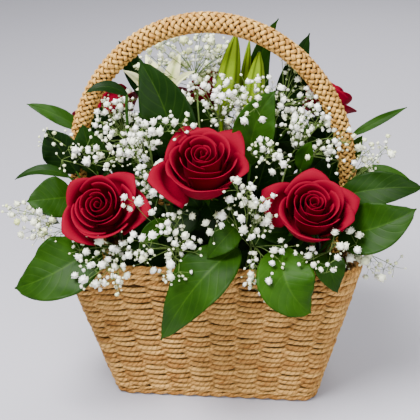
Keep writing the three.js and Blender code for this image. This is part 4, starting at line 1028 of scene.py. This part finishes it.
def rose_leaves(skin, line, highest_leaf, facing, tree, rng):
    """Leaves on the upper part of a rose's stem: each is drawn at random in the plane across `facing`,
    and kept if its whole surface is clear."""
    kept = []
    for _ in range(leaves_wanted * 30):
        if len(kept) == leaves_wanted:
            break
        anchor = line[rng.integers(3, len(line) - 2)]
        face = unit(np.array([0.5 * rng.uniform(-1, 1), facing, rng.uniform(0.2, 0.8)]))
        ahead = rng.uniform(-1, 1, 3) + [0, 0, 0.3]
        ahead = unit(ahead - face * (ahead @ face))
        length = rng.uniform(34, 50)
        base = anchor + ahead * rng.uniform(5, 16)
        tip = base + ahead * length - [0, 0, 0.12 * length]
        leaf = leaf_surface(base, (base + tip) / 2 + face * 0.14 * length, tip, 0.66 * length, face,
                            rows=13, cols=9)
        points = leaf.reshape(-1, 3)
        if np.any(points[:, 2] < lowest_leaf) or np.any(points[:, 2] > highest_leaf):
            continue
        if any(np.min(np.linalg.norm(points[:, None] - other[None, ::4], axis=2)) < 2 for other in kept):
            continue
        if all(is_free(tree, p, 1.0) for p in points[::2]):
            # These leaves get a low shade, 0 to 0.25: painted shade for the dark middle.
            add_leaf(skin, leaf, 0.25 * rng.random())
            skin.stems([anchor, base + ahead], 0.9, 5)
            kept.append(points)
    return len(kept)


def rose_stem(name, place, facing, size, share, tree, rng):
    """A cup under the bloom with five sepals, a stem down into the foam, and leaves on the stem."""
    turn = np.array(facing_turn(facing))
    axis = turn @ np.array([0, 0, 1.0])
    under = -0.62 * size - 0.35
    cup_radius = np.array([3.2, 4.6, 5.4, 5.3, 4.2, 0.6])
    cup_drop = np.array([-9.5, -8.6, -6.0, -3.0, -0.8, 0.0])
    cup = np.stack([0 * cup_radius, 0 * cup_radius, under + cup_drop], 1)
    u, v = petal_grid(12, 7)
    half = 3.6 * sin(pi * (0.22 + 0.76 * v)) ** 0.9 * u
    sepals = ray_sheets(5, 4.2 + 17.5 * v, half, under - 4.5 - 3.5 * v ** 2 + 1.2 * u * u)
    skin = Skin().add(tubes(cup, cup_radius, (0.0, 1.0, 0.0), sides=16), side=1.0)
    skin.add(sheets(sepals, 0.6)).place(turn, place)
    line = stem_line(foot_under(place, share), np.array(place) + axis * (under - 7.5), axis)
    skin.stems(line, 2.2, 10, shade=0.4)
    outwards = math.copysign(0.85, place[1])
    leaves = rose_leaves(skin, line, place[2] + leaf_above_bloom, outwards, tree, rng)
    print(name, "carries", leaves, "leaves")
    return skin.piece(name + "_green", leaf_green, "leaf", name + "_stem")


rng = np.random.default_rng(5)
standing = blooms + greens + [handle, rim, lily_green, lily_open]
for name, (*where, _, share) in roses.items():
    standing.append(rose_stem(name, *where, share, standing_tree(standing), rng))

# %% [markdown]
# ## Gypsophila
#
# Gypsophila is a haze of small white florets on hair-thin stems that fork again and again. Each spray
# has one stem and one or more clouds. Branches run from the stem to points spread through each cloud,
# and every point carries a tuft: a few ruffled florets and some closed buds on twigs.

# %% Floret finish
def floret_finish():
    """White that turns cream by the look's first number, and green by its second. The first number is partly
    the florets' own cream tone and partly painted shade on florets at the back and at the far ends.
    """
    material, tree = new_finish("gypsophila", Roughness=0.7)
    cream_and_shade, greenness, _ = look_of(tree)
    patch = mottling(tree, 300.0, 1.4)
    petal = blend(cream_and_shade, blend(patch, (250, 250, 238), (255, 255, 248)), (210, 218, 140))
    green = blend(patch, (58, 84, 24), (100, 122, 46))
    return complete(material, blend(greenness, petal, green), patch, 0.2, 0.0003)


floret_white = floret_finish()


# %% Florets and buds
def floret_shape():
    """A ruffled ball of radius 1: ring i has radius r_i (1 + 0.2 cos(5a + p_i)) at height z_i, and p
    changes from one tier of petals to the next, so their tips stand over the gaps below."""
    r = np.array([0.14, 0.95, 0.62, 0.97, 0.52, 0.64, 0.2])[:, None]
    z = np.array([-0.72, -0.22, -0.02, 0.22, 0.36, 0.66, 0.6])[:, None]
    p = pi * np.array([0, 0, 0, 1, 1, 0, 0])[:, None]
    a = 2 * pi * np.arange(10)[None] / 10
    scallop = cos(5 * a + p)
    reach = r * (1 + 0.2 * scallop)
    return np.stack([reach * cos(a), reach * sin(a), z + 0.12 * r * scallop], -1)


def scatter_florets(skin, places, facings, sizes, shades, rng):
    """Copies of the floret, each turned to its facing, scaled to its size and made a little uneven."""
    shape = floret_shape()
    levels, columns = shape.shape[:2]
    flat, count = shape.reshape(-1, 3), len(places)
    z = unit(facings)
    x = unit(np.cross(z, rng.standard_normal((count, 3))))
    axes = np.stack([x, np.cross(z, x), z], 1)
    uneven = 1 + 0.1 * rng.standard_normal((count, len(flat), 1))
    copies = places[:, None] + sizes[:, None, None] * ((flat[None] * uneven) @ axes)
    parts = [(repeat_faces(f, count, len(flat)), np.zeros((count * len(f), f.shape[1], 2)))
             for f in (lattice(levels, columns, wrap_cols=True)[0], end_faces(levels, columns))]
    green = np.repeat(np.arange(levels) == 0, columns)[None] * 0.9
    skin.add((copies, parts), shade=shades, side=green + 0 * shades[:, None])


def scatter_buds(skin, places, facings, sizes, rng):
    """Small closed buds: a pointed ball on the end of its stem."""
    ring = np.array([0.25, 0.9, 1.0, 0.25])
    level = np.array([-1.1, -0.5, 0.3, 1.2])
    path = places[:, None] + sizes[:, None, None] * level[None, :, None] * unit(facings)[:, None]
    skin.add(tubes(path, sizes[:, None] * ring, sides=6), shade=0.3 + 0.4 * rng.random(len(places)),
             side=0.15)


# %% Grow the sprays
hub_gap = 8.0
near_front, far_back = -40, 24
cream_shade_back, cream_shade_ends = 20, 142


def draw_hubs(centre, spread, wanted, taken, rng):
    """Free points inside an ellipsoid, at least `hub_gap` from each other."""
    found = []
    for _ in range(wanted * 25):
        offset = rng.uniform(-1, 1, 3)
        hub = centre + offset * spread
        if len(found) < wanted and np.linalg.norm(offset) < 1 and is_free(obstacles, hub, 1.5):
            if all(np.linalg.norm(hub - other) > hub_gap for other in taken + found):
                found.append(hub)
    return found


def spray(number, elbow, clouds, seed):
    """A stem to its elbow, branches to the hubs of each cloud, and round each hub a tuft."""
    rng = np.random.default_rng(seed)
    elbow = np.array(elbow, float)
    hubs, florets, buds, branches = [], [], [], []
    for centre, spread, wanted in clouds:
        centre, spread = np.array(centre, float), np.array(spread, float)
        fresh = draw_hubs(centre, spread, wanted, hubs, rng)
        fork = elbow + 0.45 * (centre - elbow)
        branches.append((elbow, (elbow + fork) / 2 + [0, 0, 3], fork))
        for hub in fresh:
            over = (fork + hub) / 2 + rng.uniform(-5, 5, 3) + [0, 0, 4]
            branches.append((fork, over, hub))
            scale = 0.95 if near_front <= hub[1] <= far_back else 1.1
            for _ in range(rng.integers(3, 6)):
                size = (1.6 + 2.8 * rng.random() ** 1.4) * scale
                end = hub + unit(rng.uniform(-1, 1, 3) + [0, -0.2, 0.3]) * rng.uniform(5, 14)
                if is_free(obstacles, end, size * 0.75) and all(
                        np.linalg.norm(end - o[1]) > 1.05 * (size + o[2]) for o in florets):
                    florets.append((hub, end, size))
            for _ in range(3):
                end = hub + unit(rng.uniform(-1, 1, 3)) * rng.uniform(6, 15)
                if is_free(obstacles, end, 1.2):
                    buds.append((hub, end, rng.uniform(0.8, 1.5)))
        hubs += fresh
    skin = Skin().stems([foot_under(elbow, 0.5), elbow], 0.9, shade=0.4)
    skin.stems(bends(*zip(*branches), 6), 0.34, 4)
    for tuft in (florets, buds):
        start, end, sizes = (np.array(column) for column in zip(*tuft))
        lines = bends(start, (start + end) / 2 + rng.uniform(-1.5, 1.5, start.shape), end, 4)
        skin.stems(lines, 0.22, 3)
        facing = unit(lines[:, -1] - lines[:, -2])
        if tuft is florets:
            # Florets at the back and at the far ends turn creamier: partly their own tone, partly painted
            # shade.
            cream_shade_side = (end[:, 1] > cream_shade_back) | (np.abs(end[:, 0]) > cream_shade_ends)
            shades = np.clip(rng.normal(0.12, 0.2, len(end)) + 0.4 * cream_shade_side, 0, 1)
            scatter_florets(skin, end, facing + [0, -0.25, 0.35], sizes, shades, rng)
        else:
            scatter_buds(skin, end, facing, sizes, rng)
    skin.piece(f"spray_{number:02d}", floret_white, "gypsophila", f"gypsophila_{number:02d}")
    return len(florets)


obstacles = standing_tree(standing)
# Each spray: elbow, clouds, seed. Each cloud: centre, half size, hubs wanted.
sprays = [
    ((-76, -72, 184), [((-92, -98, 188), (36, 14, 15), 12), ((-98, -110, 168), (30, 8, 12), 7)], 11),
    ((-30, -72, 184), [((-34, -98, 194), (32, 14, 18), 11), ((-28, -104, 172), (26, 10, 12), 5),
                       ((-30, -90, 222), (26, 12, 12), 5), ((-62, -92, 240), (3, 3, 4), 1)], 12),
    ((42, -70, 184), [((50, -92, 198), (26, 16, 24), 8), ((48, -84, 236), (18, 14, 26), 8),
                      ((18, -92, 224), (14, 10, 22), 4), ((52, -110, 168), (22, 6, 12), 4),
                      ((36, -106, 256), (7, 4, 6), 2)], 13),
    ((-46, -38, 214), [((-58, -48, 250), (24, 22, 26), 12), ((-66, -40, 282), (24, 16, 20), 12)], 14),
    ((-77, -8, 250), [((-96, -10, 290), (26, 22, 30), 18), ((-104, -30, 262), (24, 16, 16), 8)], 15),
    ((-134, -48, 190), [((-172, -60, 206), (28, 14, 20), 10), ((-150, -76, 196), (14, 12, 12), 5)], 16),
    ((-114, -18, 230), [((-142, -22, 262), (24, 18, 22), 10)], 17),
    ((-19, 27, 310), [((-24, 44, 340), (48, 20, 28), 32), ((-60, 40, 326), (24, 20, 20), 8),
                      ((-44, 10, 300), (18, 16, 16), 5)], 18),
    ((6, -6, 278), [((8, -8, 312), (30, 18, 26), 20), ((-30, -42, 296), (22, 8, 12), 5)], 19),
    ((61, 10, 284), [((76, 12, 322), (30, 24, 34), 20), ((36, -24, 316), (16, 10, 18), 7)], 20),
    ((74, -13, 250), [((92, -16, 284), (30, 22, 28), 17), ((124, -14, 268), (14, 12, 22), 6),
                      ((56, -48, 268), (18, 10, 18), 8)], 21),
    ((122, -58, 184), [((158, -70, 184), (28, 16, 28), 8), ((112, -104, 190), (22, 8, 22), 5)], 23),
    ((118, -12, 204), [((153, -4, 258), (20, 14, 18), 8)], 24),
    ((-58, 66, 194), [((-72, 82, 232), (30, 22, 28), 12)], 25),
    ((10, 74, 202), [((12, 92, 240), (30, 20, 28), 12)], 26),
    ((67, 67, 190), [((84, 84, 228), (30, 20, 28), 12)], 27),
]
print("florets:", sum(spray(k + 1, *plan) for k, plan in enumerate(sprays)))

# %% [markdown]
# ## Floor, light and camera
#
# The arrangement stands on a plain pale floor under a large soft light from above, with a weaker one
# from the front and one from behind. The camera looks down a little, from the front.

# %% Floor
floor_mesh = bpy.data.meshes.new("floor")
reach = 6.0
floor_mesh.from_pydata([(-reach, -reach, 0), (reach, -reach, 0), (reach, reach, 0), (-reach, reach, 0)],
                       [], [(0, 1, 2, 3)])
floor_mesh.materials.append(new_finish("pale floor", Roughness=0.6, Base_Color=rgb(176, 174, 183))[0])
floor = to_scene("floor", floor_mesh)


# %% Lights
def soft_light(name, place, target, size, power):
    light = bpy.data.lights.new(name, "AREA")
    light.shape, light.size, light.energy = "DISK", size, power
    thing = to_scene(name, light)
    thing.location = place
    thing.rotation_euler = (Vector(target) - Vector(place)).to_track_quat("-Z", "Y").to_euler()


soft_light("overhead", (-0.55, -0.75, 1.8), (0, 0, 0.2), size=1.0, power=116)
soft_light("front", (0.9, -1.8, 1.0), (0, 0, 0.2), size=1.2, power=30)
soft_light("behind", (0.4, 1.6, 1.5), (0, 0, 0.25), size=1.2, power=26)
world = bpy.data.worlds.new("studio")
world.use_nodes = True
bpy.context.scene.world = world
background = world.node_tree.nodes["Background"].inputs
background["Color"].default_value, background["Strength"].default_value = (0.9, 0.92, 0.96, 1), 0.55

# %% Camera
camera_place = Vector((103.61, -840.12, 577.92))
azimuth, elevation, roll = (math.radians(v) for v in (7.421, 24.531, -1.738))
sensor_width, picture_width, focal_pixels = 36.0, 420, 899.54
camera_data = bpy.data.cameras.new("camera")
camera_data.sensor_fit, camera_data.sensor_width = "HORIZONTAL", sensor_width
camera_data.lens = focal_pixels / picture_width * sensor_width
camera = to_scene("camera", camera_data)
back = Vector((sin(azimuth) * cos(elevation), -cos(azimuth) * cos(elevation), sin(elevation)))
right = Vector((cos(azimuth), sin(azimuth), 0))
above = back.cross(right)
level_right = math.cos(roll) * right + math.sin(roll) * above
level_above = -math.sin(roll) * right + math.cos(roll) * above
turned = Matrix((level_right, level_above, back)).transposed().to_4x4()
camera.matrix_world = Matrix.Translation(camera_place * MM) @ turned
bpy.context.scene.camera = camera
print("camera lens", round(camera_data.lens, 1), "mm")
